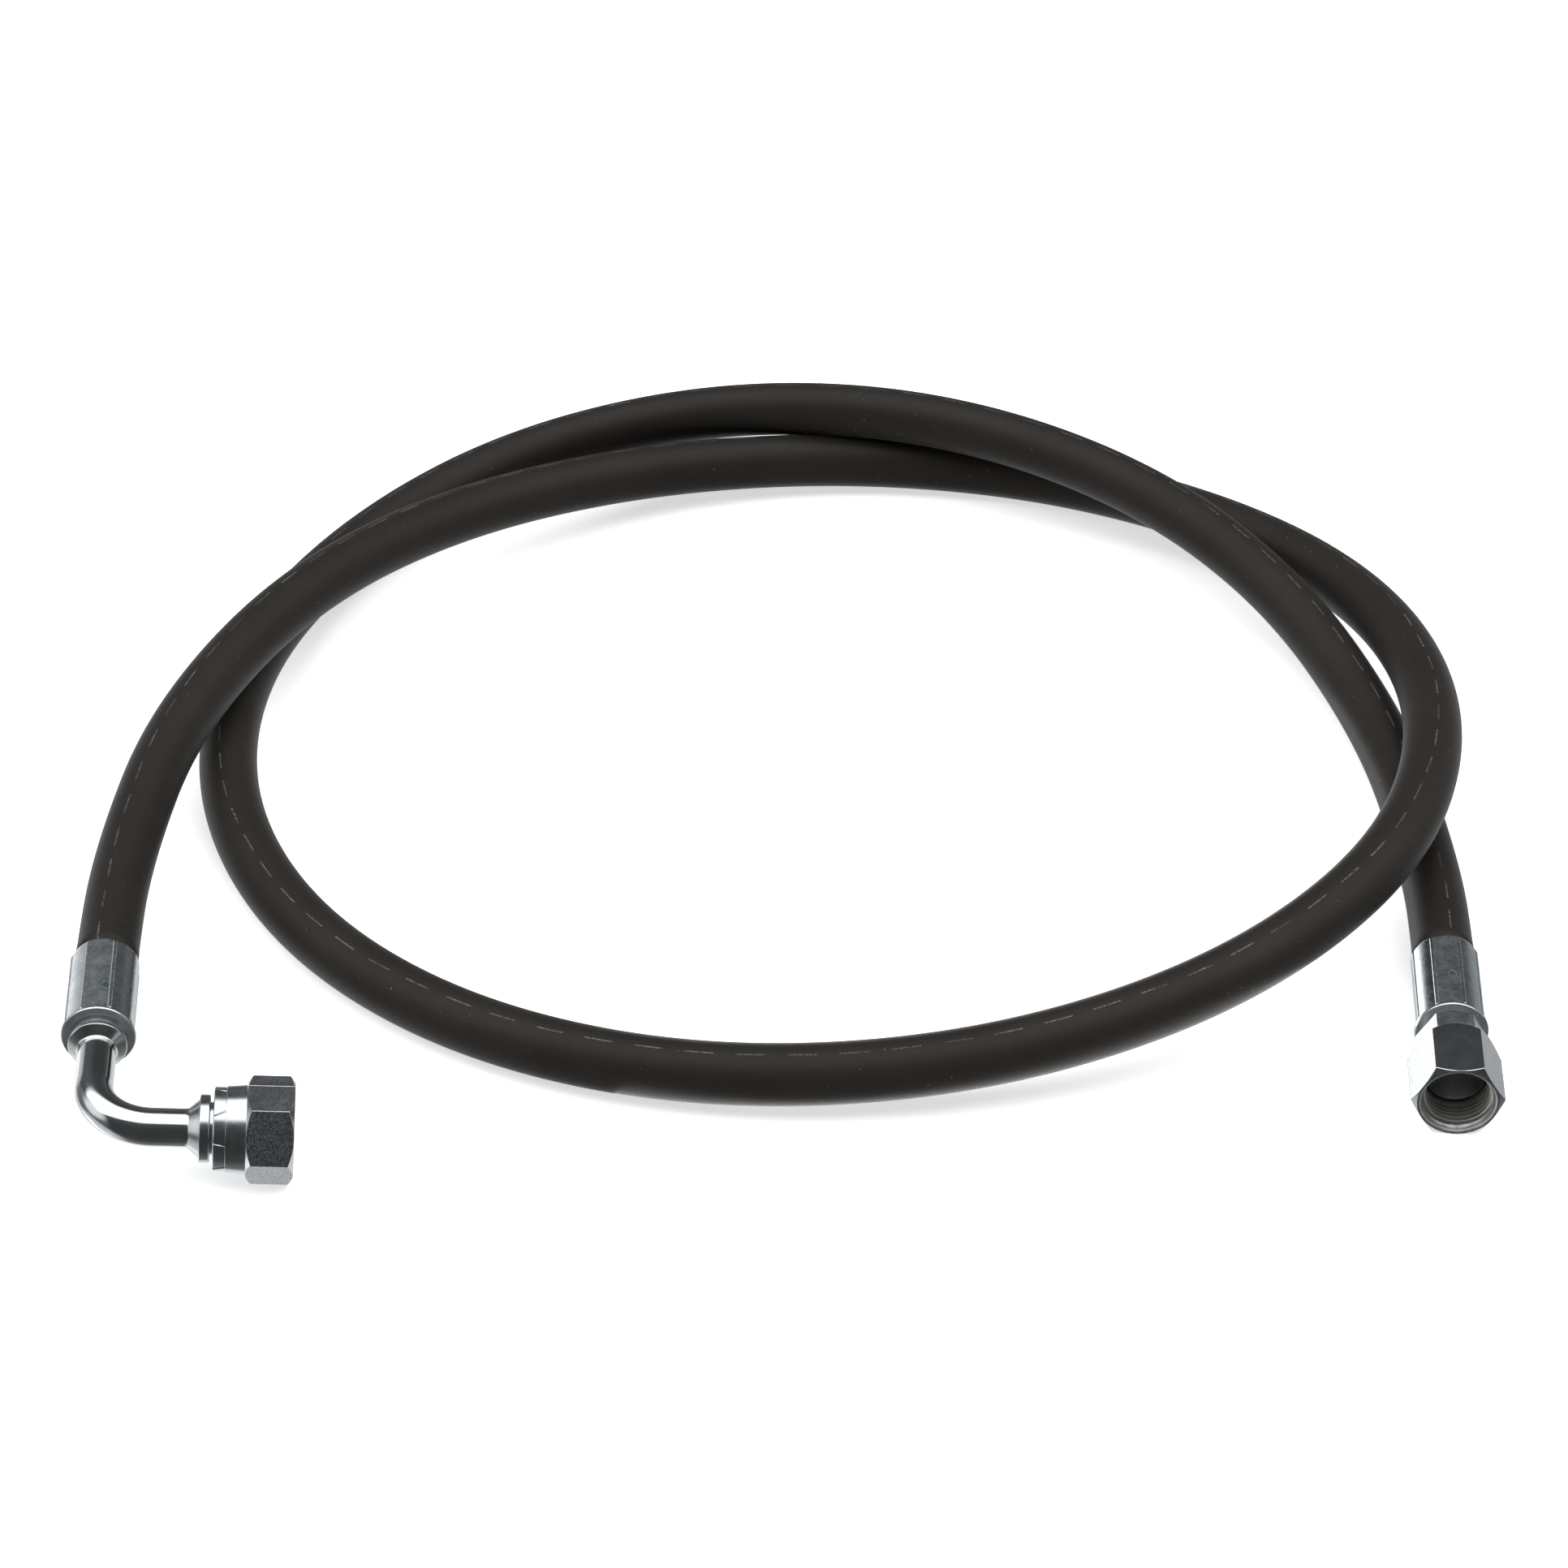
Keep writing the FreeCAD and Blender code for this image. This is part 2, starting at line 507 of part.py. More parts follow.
nut = new_body("elbow_swivel_nut")
polygon_pad(nut, "elbow_nut_hex", 6, "dims.big_hex", HEX0, "dims.big_hex_len")
turned(nut, "elbow_nut_skirt", [
    ("dims.neck_od / 2 + 0.3", NUT0),
    ("dims.band_od / 2 - 0.5", NUT0),
    ("dims.band_od / 2", NUT0 + " + 0.5"),
    ("dims.band_od / 2", NUT0 + " + dims.band_len"),
    ("dims.band_od / 2 + 0.1", NUT0 + " + dims.band_len"),
    ("dims.skirt_od / 2", HEX0),
    ("dims.skirt_od / 2", HEX0 + " + 2"),
    ("dims.neck_od / 2 + 0.3", HEX0 + " + 2"),
])
turned(nut, "elbow_nut_inside", [
    ("0.0", NUT0 + " + 1.0"),
    ("dims.neck_od / 2 + 0.3", NUT0 + " + 1.0"),
    ("dims.head_bore_nut / 2", NUT0 + " + 1.0 + dims.head_bore_nut / 2 - dims.neck_od / 2 - 0.3"),
    ("dims.head_bore_nut / 2", FACE + " + 0.6"),
    ("dims.big_thread_bore / 2", FACE + " + 0.6"),
    ("dims.big_thread_bore / 2", NUT1 + " - dims.big_relief_len - 0.8"),
    ("dims.big_relief / 2", NUT1 + " - dims.big_relief_len"),
    ("dims.big_relief / 2 + 0.1", NUT1 + " - 0.5"),
    ("dims.big_relief / 2 + 0.55", NUT1),
    ("dims.big_relief / 2 + 0.55", NUT1 + " + 1"),
    ("0.0", NUT1 + " + 1"),
], "Groove")
turned(nut, "elbow_nut_passage", [
    ("0.0", NUT0 + " - 1"),
    ("dims.neck_od / 2 + 0.3", NUT0 + " - 1"),
    ("dims.neck_od / 2 + 0.3", NUT0 + " + 1.1"),
    ("0.0", NUT0 + " + 1.1"),
], "Groove")
turned(nut, "elbow_nut_mouth_chamfer", [
    ("dims.big_hex / 2", NUT1),
    ("dims.big_hex / 2 + 2.6", NUT1 + " - 2.6 * dims.big_chamfer / 1.964"),
    ("dims.big_hex / 2 + 2.6", NUT1 + " + 1"),
    ("dims.big_hex / 2", NUT1 + " + 1"),
], "Groove")
turned(nut, "elbow_nut_rear_chamfer", [
    ("dims.big_hex / 2", HEX0),
    ("dims.big_hex / 2 + 2.6", HEX0 + " + 2.6 * dims.big_chamfer / 1.964"),
    ("dims.big_hex / 2 + 2.6", HEX0 + " - 1"),
    ("dims.big_hex / 2", HEX0 + " - 1"),
], "Groove")
# eight crimp flats on the rear band
sketch = nut.newObject("Sketcher::SketchObject", "band_flat_outline")
sketch.AttachmentSupport = [(plane_of(nut, "XY_Plane"), "")]
sketch.MapMode = "FlatFace"
sketch.setExpression("AttachmentOffset.Base.z", NUT0 + " - 0.5")
bx0, bx1, by = dim("band_flat") / 2.0, dim("band_od") / 2.0 + 1.0, 4.2
corners = [V(bx0, -by, 0), V(bx1, -by, 0), V(bx1, by, 0), V(bx0, by, 0)]
for k in range(4):
    sketch.addGeometry(Part.LineSegment(corners[k], corners[(k + 1) % 4]), False)
for k in range(4):
    sketch.addConstraint(Sketcher.Constraint("Coincident", k, 2, (k + 1) % 4, 1))
sketch.addConstraint(Sketcher.Constraint("Horizontal", 0))
sketch.addConstraint(Sketcher.Constraint("Horizontal", 2))
sketch.addConstraint(Sketcher.Constraint("Vertical", 1))
sketch.addConstraint(Sketcher.Constraint("Vertical", 3))
index = sketch.addConstraint(Sketcher.Constraint("DistanceX", -1, 1, 0, 1, bx0))
sketch.setExpression("Constraints[%d]" % index, "dims.band_flat / 2")
index = sketch.addConstraint(Sketcher.Constraint("DistanceX", -1, 1, 1, 1, bx1))
sketch.setExpression("Constraints[%d]" % index, "dims.band_od / 2 + 1")
sketch.addConstraint(Sketcher.Constraint("DistanceY", 0, 1, -1, 1, by))
sketch.addConstraint(Sketcher.Constraint("DistanceY", -1, 1, 2, 1, by))
before = nut.Shape.Volume
pocket = nut.newObject("PartDesign::Pocket", "band_flat_cut")
pocket.Profile = sketch
pocket.Reversed = True
pocket.setExpression("Length", "dims.band_len + 0.5")
doc.recompute()
pattern = nut.newObject("PartDesign::PolarPattern", "band_flats")
pattern.Originals = [pocket]
pattern.Axis = (sketch, ["N_Axis"])
pattern.Angle = 360.0
pattern.Occurrences = 8
nut.Tip = pattern
doc.recompute()
print("band flats take away %.2f mm3" % (before - nut.Shape.Volume))
if before - nut.Shape.Volume < 2:
    raise RuntimeError("band flats")
keep("elbow_swivel_nut", nut, HEAD)

# ------------------------------------------------ straight stem, wire, nut
# Stations from the nut's mouth towards the hose.
f = "dims.ferrule_at_straight"
GAP = "(dims.small_hex_len + dims.stem_gap)"
WIRE = "(dims.seat_depth + 3.0)"
stem = new_body("straight_stem")
polygon_pad(stem, "stem_hexagon", 6, "dims.stem_hex", GAP, f + " - " + GAP)
turned(stem, "stem_turned", [
    ("dims.tail_bore / 2", "dims.seat_depth + (dims.stem_seat_od - dims.tail_bore) / 2 / tan(dims.seat_half_angle * 1 deg)"),
    ("dims.stem_seat_od / 2", "dims.seat_depth"),
    ("dims.stem_head_od / 2 - 0.2", "dims.seat_depth"),
    ("dims.stem_head_od / 2", "dims.seat_depth + 0.2"),
    ("dims.stem_head_od / 2", WIRE + " - dims.wire_dia / 2"),
    ("dims.stem_head_od / 2 - dims.wire_dia / 2 - 0.05", WIRE + " - dims.wire_dia / 2"),
    ("dims.stem_head_od / 2 - dims.wire_dia / 2 - 0.05", WIRE + " + dims.wire_dia / 2"),
    ("dims.stem_head_od / 2", WIRE + " + dims.wire_dia / 2"),
    ("dims.stem_head_od / 2", WIRE + " + dims.wire_dia / 2 + 1.2"),
    ("dims.stem_neck_od / 2", WIRE + " + dims.wire_dia / 2 + 1.2 + (dims.stem_head_od - dims.stem_neck_od) / 2"),
    ("dims.stem_neck_od / 2", f + " - 1"),
    ("dims.shoulder_od / 2", f + " - 1"),
    ("dims.shoulder_od / 2", f + " + dims.lip_face"),
    ("dims.groove_od / 2", f + " + dims.lip_face"),
    ("dims.groove_od / 2", f + " + dims.flange_end"),
    ("dims.collar_od / 2", f + " + dims.flange_end"),
    ("dims.collar_od / 2", f + " + dims.hose_seat"),
    ("dims.barb_od / 2", f + " + dims.hose_seat"),
] + barb_points(f + " + dims.hose_seat", BARBS) + [
    ("dims.barb_root / 2 - 0.5", f + " + dims.hose_seat + dims.tail_len - 7"),
    ("dims.tail_bore / 2", f + " + dims.hose_seat + dims.tail_len - 7"),
])
# chamfered front of the stem's hexagon
turned(stem, "stem_hex_chamfer", [
    ("dims.stem_hex / 2", GAP),
    ("dims.stem_hex / 2 + 2", GAP + " + 1.1"),
    ("dims.stem_hex / 2 + 2", GAP + " - 0.2"),
    ("dims.stem_hex / 2", GAP + " - 0.2"),
], "Groove")
turned(stem, "stem_bore", [
    ("0.0", "dims.seat_depth + 2"),
    ("dims.tail_bore / 2", "dims.seat_depth + 2"),
    ("dims.tail_bore / 2", f + " + dims.hose_seat + dims.tail_len"),
    ("0.0", f + " + dims.hose_seat + dims.tail_len"),
], "Groove")
keep("straight_stem", stem, STRAIGHT)

wire = doc.addObject("Part::Torus", "straight_retaining_wire")
wire.setExpression("Radius1", "dims.stem_head_od / 2 - 0.05")
wire.setExpression("Radius2", "dims.wire_dia / 2")
wire_frame = FreeCAD.Placement(mouth + hose_dir * evaluate(WIRE), STRAIGHT.Rotation)
keep("straight_retaining_wire", wire, wire_frame)

small = new_body("straight_swivel_nut")
polygon_pad(small, "straight_nut_hex", 6, "dims.small_hex", "0 * dims.small_hex", "dims.small_hex_len")
turned(small, "straight_nut_inside", [
    ("0.0", "-1 * dims.stem_gap"),
    ("dims.small_mouth / 2", "-1 * dims.stem_gap"),
    ("dims.small_mouth / 2", "0 * dims.stem_gap"),
    ("dims.small_relief / 2 + 0.35", "0.43 * 1"),
    ("dims.small_relief / 2", "dims.small_relief_len"),
    ("dims.small_thread_bore / 2", "dims.small_relief_len + 0.7"),
    ("dims.small_thread_bore / 2", "dims.seat_depth - 0.4"),
    ("dims.stem_nut_bore / 2", "dims.seat_depth - 0.4"),
    ("dims.stem_nut_bore / 2", WIRE + " - dims.wire_dia / 2 - 0.15"),
    ("dims.stem_nut_bore / 2 + 0.9", WIRE + " - dims.wire_dia / 2 - 0.15"),
    ("dims.stem_nut_bore / 2 + 0.9", WIRE + " + dims.wire_dia / 2 + 0.15"),
    ("dims.stem_nut_bore / 2", WIRE + " + dims.wire_dia / 2 + 0.15"),
    ("dims.stem_nut_bore / 2", WIRE + " + dims.wire_dia / 2 + 1.5"),
    ("dims.stem_neck_od / 2 + 0.3", WIRE + " + dims.wire_dia / 2 + 1.5 + (dims.stem_nut_bore - dims.stem_neck_od) / 2 - 0.3"),
    ("dims.stem_neck_od / 2 + 0.3", "dims.small_hex_len + 1"),
    ("0.0", "dims.small_hex_len + 1"),
], "Groove")
turned(small, "straight_nut_front_chamfer", [
    ("dims.small_hex / 2", "0 * dims.small_hex"),
    ("dims.small_hex / 2 + 2.2", "2.2 * dims.small_front_chamfer / 1.717"),
    ("dims.small_hex / 2 + 2.2", "-1 * dims.stem_gap"),
    ("dims.small_hex / 2", "-1 * dims.stem_gap"),
], "Groove")
turned(small, "straight_nut_rear_chamfer", [
    ("dims.small_hex / 2", "dims.small_hex_len"),
    ("dims.small_hex / 2 + 2.2", "dims.small_hex_len - 2.2 * dims.small_rear_chamfer / 1.717"),
    ("dims.small_hex / 2 + 2.2", "dims.small_hex_len + 1"),
    ("dims.small_hex / 2", "dims.small_hex_len + 1"),
], "Groove")
keep("straight_swivel_nut", small, rolled(STRAIGHT, dim("small_nut_turn")))

# ------------------------------------------------------------ check, write
doc.recompute()
for obj in doc.Objects:
    bad = [word for word in obj.State if word in ("Invalid", "Error")]
    if bad:
        raise RuntimeError("%s is %s" % (obj.Name, bad))
os.makedirs("parts", exist_ok=True)
for name in sorted(os.listdir("parts")):
    if name.endswith(".step") and name[:-5] not in NODES:
        os.remove(os.path.join("parts", name))
HOSE = ("hose_cover", "outer_wire_braid", "braid_separator", "inner_wire_braid", "hose_liner")
bounds = {"hose": [], "fittings": []}
for node, obj in NODES.items():
    shape = obj.Shape
    if shape.isNull() or not shape.isValid() or not shape.Solids:
        raise RuntimeError("shape of " + node)
    box = shape.optimalBoundingBox(False)
    print("%-24s solids %d  volume %9.1f mm3  x %7.1f..%7.1f  y %7.1f..%7.1f  z %6.2f..%6.2f"
          % (node, len(shape.Solids), shape.Volume, box.XMin, box.XMax, box.YMin, box.YMax,
             box.ZMin, box.ZMax))
    bounds["hose" if node in HOSE else "fittings"].append(box)
    shape.exportStep(os.path.join("parts", node + ".step"))
for name, boxes in bounds.items():
    print("%s: x %.2f..%.2f  y %.2f..%.2f  z %.2f..%.2f mm" % (
        name, min(b.XMin for b in boxes), max(b.XMax for b in boxes),
        min(b.YMin for b in boxes), max(b.YMax for b in boxes),
        min(b.ZMin for b in boxes), max(b.ZMax for b in boxes)))
print("elbow nut axis %.5f %.5f %.5f, mouth centre %s" % (
    nut_dir.x, nut_dir.y, nut_dir.z, corner + nut_dir * evaluate(NUT1)))
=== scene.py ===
import math

import bmesh
import bpy
from mathutils import Matrix, Vector


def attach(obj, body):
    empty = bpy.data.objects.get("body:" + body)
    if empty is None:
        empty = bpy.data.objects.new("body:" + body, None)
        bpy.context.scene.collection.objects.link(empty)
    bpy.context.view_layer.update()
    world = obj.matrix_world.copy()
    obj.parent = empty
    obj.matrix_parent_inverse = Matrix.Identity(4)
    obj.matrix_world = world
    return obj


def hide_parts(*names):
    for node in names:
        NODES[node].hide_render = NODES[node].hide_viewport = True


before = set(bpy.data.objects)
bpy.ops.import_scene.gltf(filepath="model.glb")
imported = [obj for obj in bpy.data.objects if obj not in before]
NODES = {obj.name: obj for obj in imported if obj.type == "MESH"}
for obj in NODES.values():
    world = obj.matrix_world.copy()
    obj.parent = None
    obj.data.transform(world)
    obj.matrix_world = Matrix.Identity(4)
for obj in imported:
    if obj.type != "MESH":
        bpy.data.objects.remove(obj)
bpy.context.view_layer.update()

ROOT = "hose_and_stems"


# ------------------------------------------------------------------ camera
cam_data = bpy.data.cameras.new("camera")
cam_data.lens = 96.52
cam_data.sensor_width = 36.0
cam_data.clip_start, cam_data.clip_end = 0.05, 20.0
cam = bpy.data.objects.new("camera", cam_data)
cam.location = (0.00138, -0.87804, 0.74254)
cam.rotation_euler = (math.radians(54.0), 0.0, 0.0)
bpy.context.scene.collection.objects.link(cam)
bpy.context.scene.camera = cam


# ------------------------------------------------------- node tree helpers
class Tree:
    """A short way to write a material's nodes."""

    def __init__(self, name):
        self.mat = bpy.data.materials.new(name)
        self.mat.use_nodes = True
        self.nodes = self.mat.node_tree.nodes
        self.links = self.mat.node_tree.links
        self.nodes.clear()
        self.out = self.nodes.new("ShaderNodeOutputMaterial")
        self.bsdf = self.nodes.new("ShaderNodeBsdfPrincipled")
        self.links.new(self.bsdf.outputs[0], self.out.inputs[0])

    def put(self, socket, value):
        if isinstance(value, bpy.types.NodeSocket):
            self.links.new(value, socket)
        else:
            socket.default_value = value

    def node(self, kind, settings=None, **inputs):
        n = self.nodes.new(kind)
        for k, v in (settings or {}).items():
            setattr(n, k, v)
        for k, v in inputs.items():
            self.put(n.inputs[k.replace("_", " ")], v)
        return n

    def math(self, op, a, b=0.0, c=0.0):
        n = self.nodes.new("ShaderNodeMath")
        n.operation = op
        for i, v in enumerate((a, b, c)):
            self.put(n.inputs[i], v)
        return n.outputs[0]

    def noise(self, vector, scale, detail=2.0, roughness=0.5, distortion=0.0):
        n = self.node("ShaderNodeTexNoise", None, Scale=scale, Detail=detail,
                      Roughness=roughness, Distortion=distortion)
        self.put(n.inputs["Vector"], vector)
        return n.outputs["Fac"]

    def ramp(self, fac, stops, mode="LINEAR"):
        n = self.nodes.new("ShaderNodeValToRGB")
        n.color_ramp.interpolation = mode
        ramp = n.color_ramp.elements
        while len(ramp) > len(stops):
            ramp.remove(ramp[-1])
        while len(ramp) < len(stops):
            ramp.new(1.0)
        for e, (pos, colour) in zip(ramp, stops):
            e.position = pos
            e.color = colour if len(colour) == 4 else (*colour, 1.0)
        self.put(n.inputs[0], fac)
        return n.outputs[0]

    def mix(self, fac, a, b):
        n = self.nodes.new("ShaderNodeMix")
        n.data_type = "RGBA"
        self.put(n.inputs[0], fac)
        self.put(n.inputs[6], a)
        self.put(n.inputs[7], b)
        return n.outputs[2]

    def remap(self, value, a, b, c, d, smooth=False):
        n = self.nodes.new("ShaderNodeMapRange")
        if smooth:
            n.interpolation_type = "SMOOTHSTEP"
        for i, v in enumerate((value, a, b, c, d)):
            self.put(n.inputs[i], v)
        return n.outputs[0]

    def coords(self, kind="Object"):
        return self.nodes.new("ShaderNodeTexCoord").outputs[kind]

    def split(self, vector):
        n = self.nodes.new("ShaderNodeSeparateXYZ")
        self.put(n.inputs[0], vector)
        return n.outputs[0], n.outputs[1], n.outputs[2]

    def scaled(self, vector, scale):
        n = self.nodes.new("ShaderNodeMapping")
        self.put(n.inputs["Vector"], vector)
        n.inputs["Scale"].default_value = scale
        return n.outputs[0]

    def bump(self, height, strength, distance=0.001, normal=None):
        n = self.nodes.new("ShaderNodeBump")
        n.inputs["Strength"].default_value = strength
        n.inputs["Distance"].default_value = distance
        self.put(n.inputs["Height"], height)
        if normal is not None:
            self.put(n.inputs["Normal"], normal)
        return n.outputs[0]


# ---------------------------------------------------------------- finishes
def tinted(base, k):
    return (base[0] * k, base[1] * k, base[2] * k, 1.0)


def polished(name, base, rough, streak=(1.0, 1.0, 1.0), wave=0.0):
    """Bright plating on a drawn tube: soft waves, fine hairlines, faint clouds."""
    t = Tree(name)
    v = t.coords()
    clouds = t.noise(v, 120.0, 4.0, 0.6)
    hair = t.noise(t.scaled(v, streak), 2600.0, 3.0, 0.7)
    spots = t.noise(v, 1400.0, 3.0, 0.55)
    colour = t.mix(t.remap(clouds, 0.3, 0.7, 0.0, 1.0), tinted(base, 0.86), tinted(base, 1.0))
    colour = t.mix(t.remap(spots, 0.60, 0.74, 0.0, 0.45), colour,
                   (base[0] * 0.62, base[1] * 0.66, base[2] * 0.66, 1.0))
    t.put(t.bsdf.inputs["Base Color"], colour)
    t.bsdf.inputs["Metallic"].default_value = 1.0
    t.put(t.bsdf.inputs["Roughness"],
          t.math("ADD", t.remap(clouds, 0.3, 0.7, rough * 0.8, rough * 1.3),
                 t.remap(hair, 0.35, 0.75, 0.0, 0.05)))
    soft = t.bump(t.noise(v, 210.0, 1.0, 0.4), wave, 0.0004)
    t.put(t.bsdf.inputs["Normal"], t.bump(hair, 0.10, 0.00003, soft))
    return t.mat


def lathed(name, base, rough, grooves=0.25, metal=1.0):
    """Plating over a turned surface: the tool's fine rings run round the axis."""
    t = Tree(name)
    u, along, _ = t.split(t.coords("UV"))
    ring = t.node("ShaderNodeCombineXYZ")
    t.put(ring.inputs[0], t.math("MULTIPLY", u, 0.25))
    t.put(ring.inputs[1], t.math("MULTIPLY", along, 14.0))
    rings = t.noise(ring.outputs[0], 420.0, 3.0, 0.7)
    v = t.coords()
    clouds = t.noise(v, 260.0, 3.0, 0.6)
    colour = t.mix(t.remap(clouds, 0.3, 0.7, 0.0, 1.0), tinted(base, 0.82), tinted(base, 1.0))
    colour = t.mix(t.remap(rings, 0.35, 0.7, 0.35, 0.0), colour, tinted(base, 0.7))
    t.put(t.bsdf.inputs["Base Color"], colour)
    t.bsdf.inputs["Metallic"].default_value = metal
    t.put(t.bsdf.inputs["Roughness"],
          t.math("ADD", t.remap(clouds, 0.3, 0.7, rough * 0.8, rough * 1.25),
                 t.remap(rings, 0.3, 0.7, 0.0, 0.07)))
    t.put(t.bsdf.inputs["Normal"], t.bump(rings, grooves, 0.00004))
    return t.mat


def crimped(name, base, rough, highlight_from, dot=None):
    """Plating rubbed by the crimping jaws: lengthwise drag marks and clouded
    zinc, with a painted highlight along both sides of each ridge beyond one
    station.  dot is the side, station, half width and half length of an ink dot."""
    t = Tree(name)
    v = t.coords()
    x, y, z = t.split(v)
    drag = t.noise(t.scaled(v, (1.0, 1.0, 0.10)), 2200.0, 4.0, 0.65)
    clouds = t.noise(v, 230.0, 5.0, 0.62)
    scale = t.noise(v, 900.0, 3.0, 0.6, 0.4)
    fine = t.noise(v, 4200.0, 2.0, 0.6)
    colour = t.mix(t.remap(clouds, 0.32, 0.68, 0.0, 1.0), tinted(base, 0.80), tinted(base, 1.0))
    colour = t.mix(t.remap(scale, 0.56, 0.70, 0.0, 0.26), colour, tinted(base, 0.6))
    colour = t.mix(t.remap(drag, 0.55, 0.75, 0.0, 0.40), colour, tinted(base, 1.25))
    # painted highlight: a thin strip along both sides of each ridge, past the given station, gets a zinc twice as light
    ridge = t.math("MODULO", t.math("ADD", t.math("MULTIPLY", t.math("ARCTAN2", y, x), 180 / math.pi), 360.0), 45.0)
    off = t.math("ABSOLUTE", t.math("SUBTRACT", ridge, 22.5))
    edge = t.math("SUBTRACT", 1.0, t.math("MINIMUM", 1.0, t.math(
        "DIVIDE", t.math("ABSOLUTE", t.math("SUBTRACT", off, 2.7)), 1.2)))
    edge = t.math("MULTIPLY", edge, t.remap(t.noise(t.scaled(v, (1.0, 1.0, 0.3)), 700.0, 2.0, 0.5), 0.3, 0.6, 0.15, 1.0))
    edge = t.math("MULTIPLY", edge, t.math("GREATER_THAN", z, highlight_from))
    # the painted ridge highlight is mixed into the zinc here
    colour = t.mix(edge, colour, tinted(base, 2.0))
    rough_now = t.math("ADD", t.remap(clouds, 0.3, 0.7, rough * 1.25, rough * 0.8),
                       t.remap(scale, 0.4, 0.7, 0.0, 0.05))
    height = t.math("ADD", t.math("MULTIPLY", drag, 0.7), t.math("MULTIPLY", scale, 0.6))
    if dot:
        side, station, half_w, half_l = dot
        a = t.math("DIVIDE", t.math("SUBTRACT", y, side), half_w)
        b = t.math("DIVIDE", t.math("SUBTRACT", z, station), half_l)
        d = t.math("ADD", t.math("MULTIPLY", a, a), t.math("MULTIPLY", b, b))
        d = t.math("ADD", d, t.remap(t.noise(v, 900.0, 2.0, 0.5), 0.3, 0.7, -0.45, 0.45))
        ink = t.math("MULTIPLY", t.remap(d, 1.15, 0.75, 0.0, 1.0), t.math("GREATER_THAN", x, 0.0))
        colour = t.mix(t.math("MULTIPLY", ink, 0.94), colour, (0.004, 0.030, 0.024, 1.0))
        t.put(t.bsdf.inputs["Metallic"], t.math("SUBTRACT", 1.0, t.math("MULTIPLY", ink, 0.9)))
        rough_now = t.math("ADD", rough_now, t.math("MULTIPLY", ink, 0.10))
    else:
        t.bsdf.inputs["Metallic"].default_value = 1.0
    t.put(t.bsdf.inputs["Base Color"], colour)
    t.put(t.bsdf.inputs["Roughness"], rough_now)
    soft = t.bump(height, 0.22, 0.00006)
    t.put(t.bsdf.inputs["Normal"], t.bump(fine, 0.12, 0.00002, soft))
    return t.mat


def rolled(name, base, rough, contrast=1.0, depth=1.0):
    """Plating over hot-rolled bar: a dense sandy grain of pale and dark worms."""
    t = Tree(name)
    v = t.coords()
    grain = t.noise(v, 2300.0, 3.0, 0.62, 0.8)
    pits = t.noise(v, 4600.0, 2.0, 0.6)
    clouds = t.noise(v, 170.0, 3.0, 0.6)
    mottled = t.math("ADD", t.math("MULTIPLY", grain, 0.62), t.math("MULTIPLY", pits, 0.38))
    colour = t.mix(t.remap(mottled, 0.39, 0.61, 0.0, 1.0),
                   tinted(base, 1.0 - 0.55 * contrast), tinted(base, 1.0 + 0.75 * contrast))
    colour = t.mix(t.remap(clouds, 0.3, 0.7, 0.22, 0.0), colour, tinted(base, 0.7))
    t.put(t.bsdf.inputs["Base Color"], colour)
    t.put(t.bsdf.inputs["Metallic"], t.remap(mottled, 0.42, 0.64, 0.97, 0.97 - 0.22 * contrast))
    t.put(t.bsdf.inputs["Roughness"],
          t.math("ADD", t.remap(grain, 0.3, 0.7, rough + 0.05, rough - 0.05),
                 t.remap(clouds, 0.3, 0.7, -0.03, 0.03)))
    rough_normal = t.bump(grain, 0.30 * depth, 0.00009)
    t.put(t.bsdf.inputs["Normal"], t.bump(pits, 0.18 * depth, 0.00005, rough_normal))
    return t.mat


ZINC = (0.66, 0.69, 0.70)
mat_pipe = polished("zinc_polished_tube", ZINC, 0.085, (0.12, 0.12, 0.12), 0.10)
mat_turned = lathed("zinc_turned", (0.62, 0.65, 0.655), 0.17)
# painted shade: the thread flanks and roots and the nut's inner recess get a darker zinc than the rest; painted
# highlight: the thread crests get a lighter one
mat_bore_painted_shade = lathed("zinc_threads_painted_shade", (0.36, 0.345, 0.315), 0.30, 0.12, 0.86)
mat_crest_painted_highlight = lathed("zinc_thread_crests_painted_highlight", (0.60, 0.59, 0.555), 0.34, 0.12, 0.50)
mat_mouth = lathed("zinc_faced", (0.60, 0.605, 0.60), 0.34, 0.35, 0.82)
mat_rim = lathed("zinc_mouth_face", (0.52, 0.525, 0.52), 0.24, 0.35, 0.97)
mat_hex = rolled("zinc_rolled_hex", (0.28, 0.29, 0.30), 0.22, 0.75, 1.1)
mat_hex_b = rolled("zinc_drawn_hex", (0.23, 0.24, 0.25), 0.20, 0.45, 0.5)
mat_milled = polished("zinc_milled_hex", (0.46, 0.48, 0.485), 0.22, (1.0, 1.0, 0.25), 0.12)
mat_braze = polished("braze", (0.62, 0.655, 0.55), 0.16, (1.0, 1.0, 1.0), 0.25)
mat_wire = polished("spring_wire", (0.45, 0.45, 0.45), 0.3)
mat_braid = polished("brass_coated_wire", (0.62, 0.52, 0.32), 0.35)


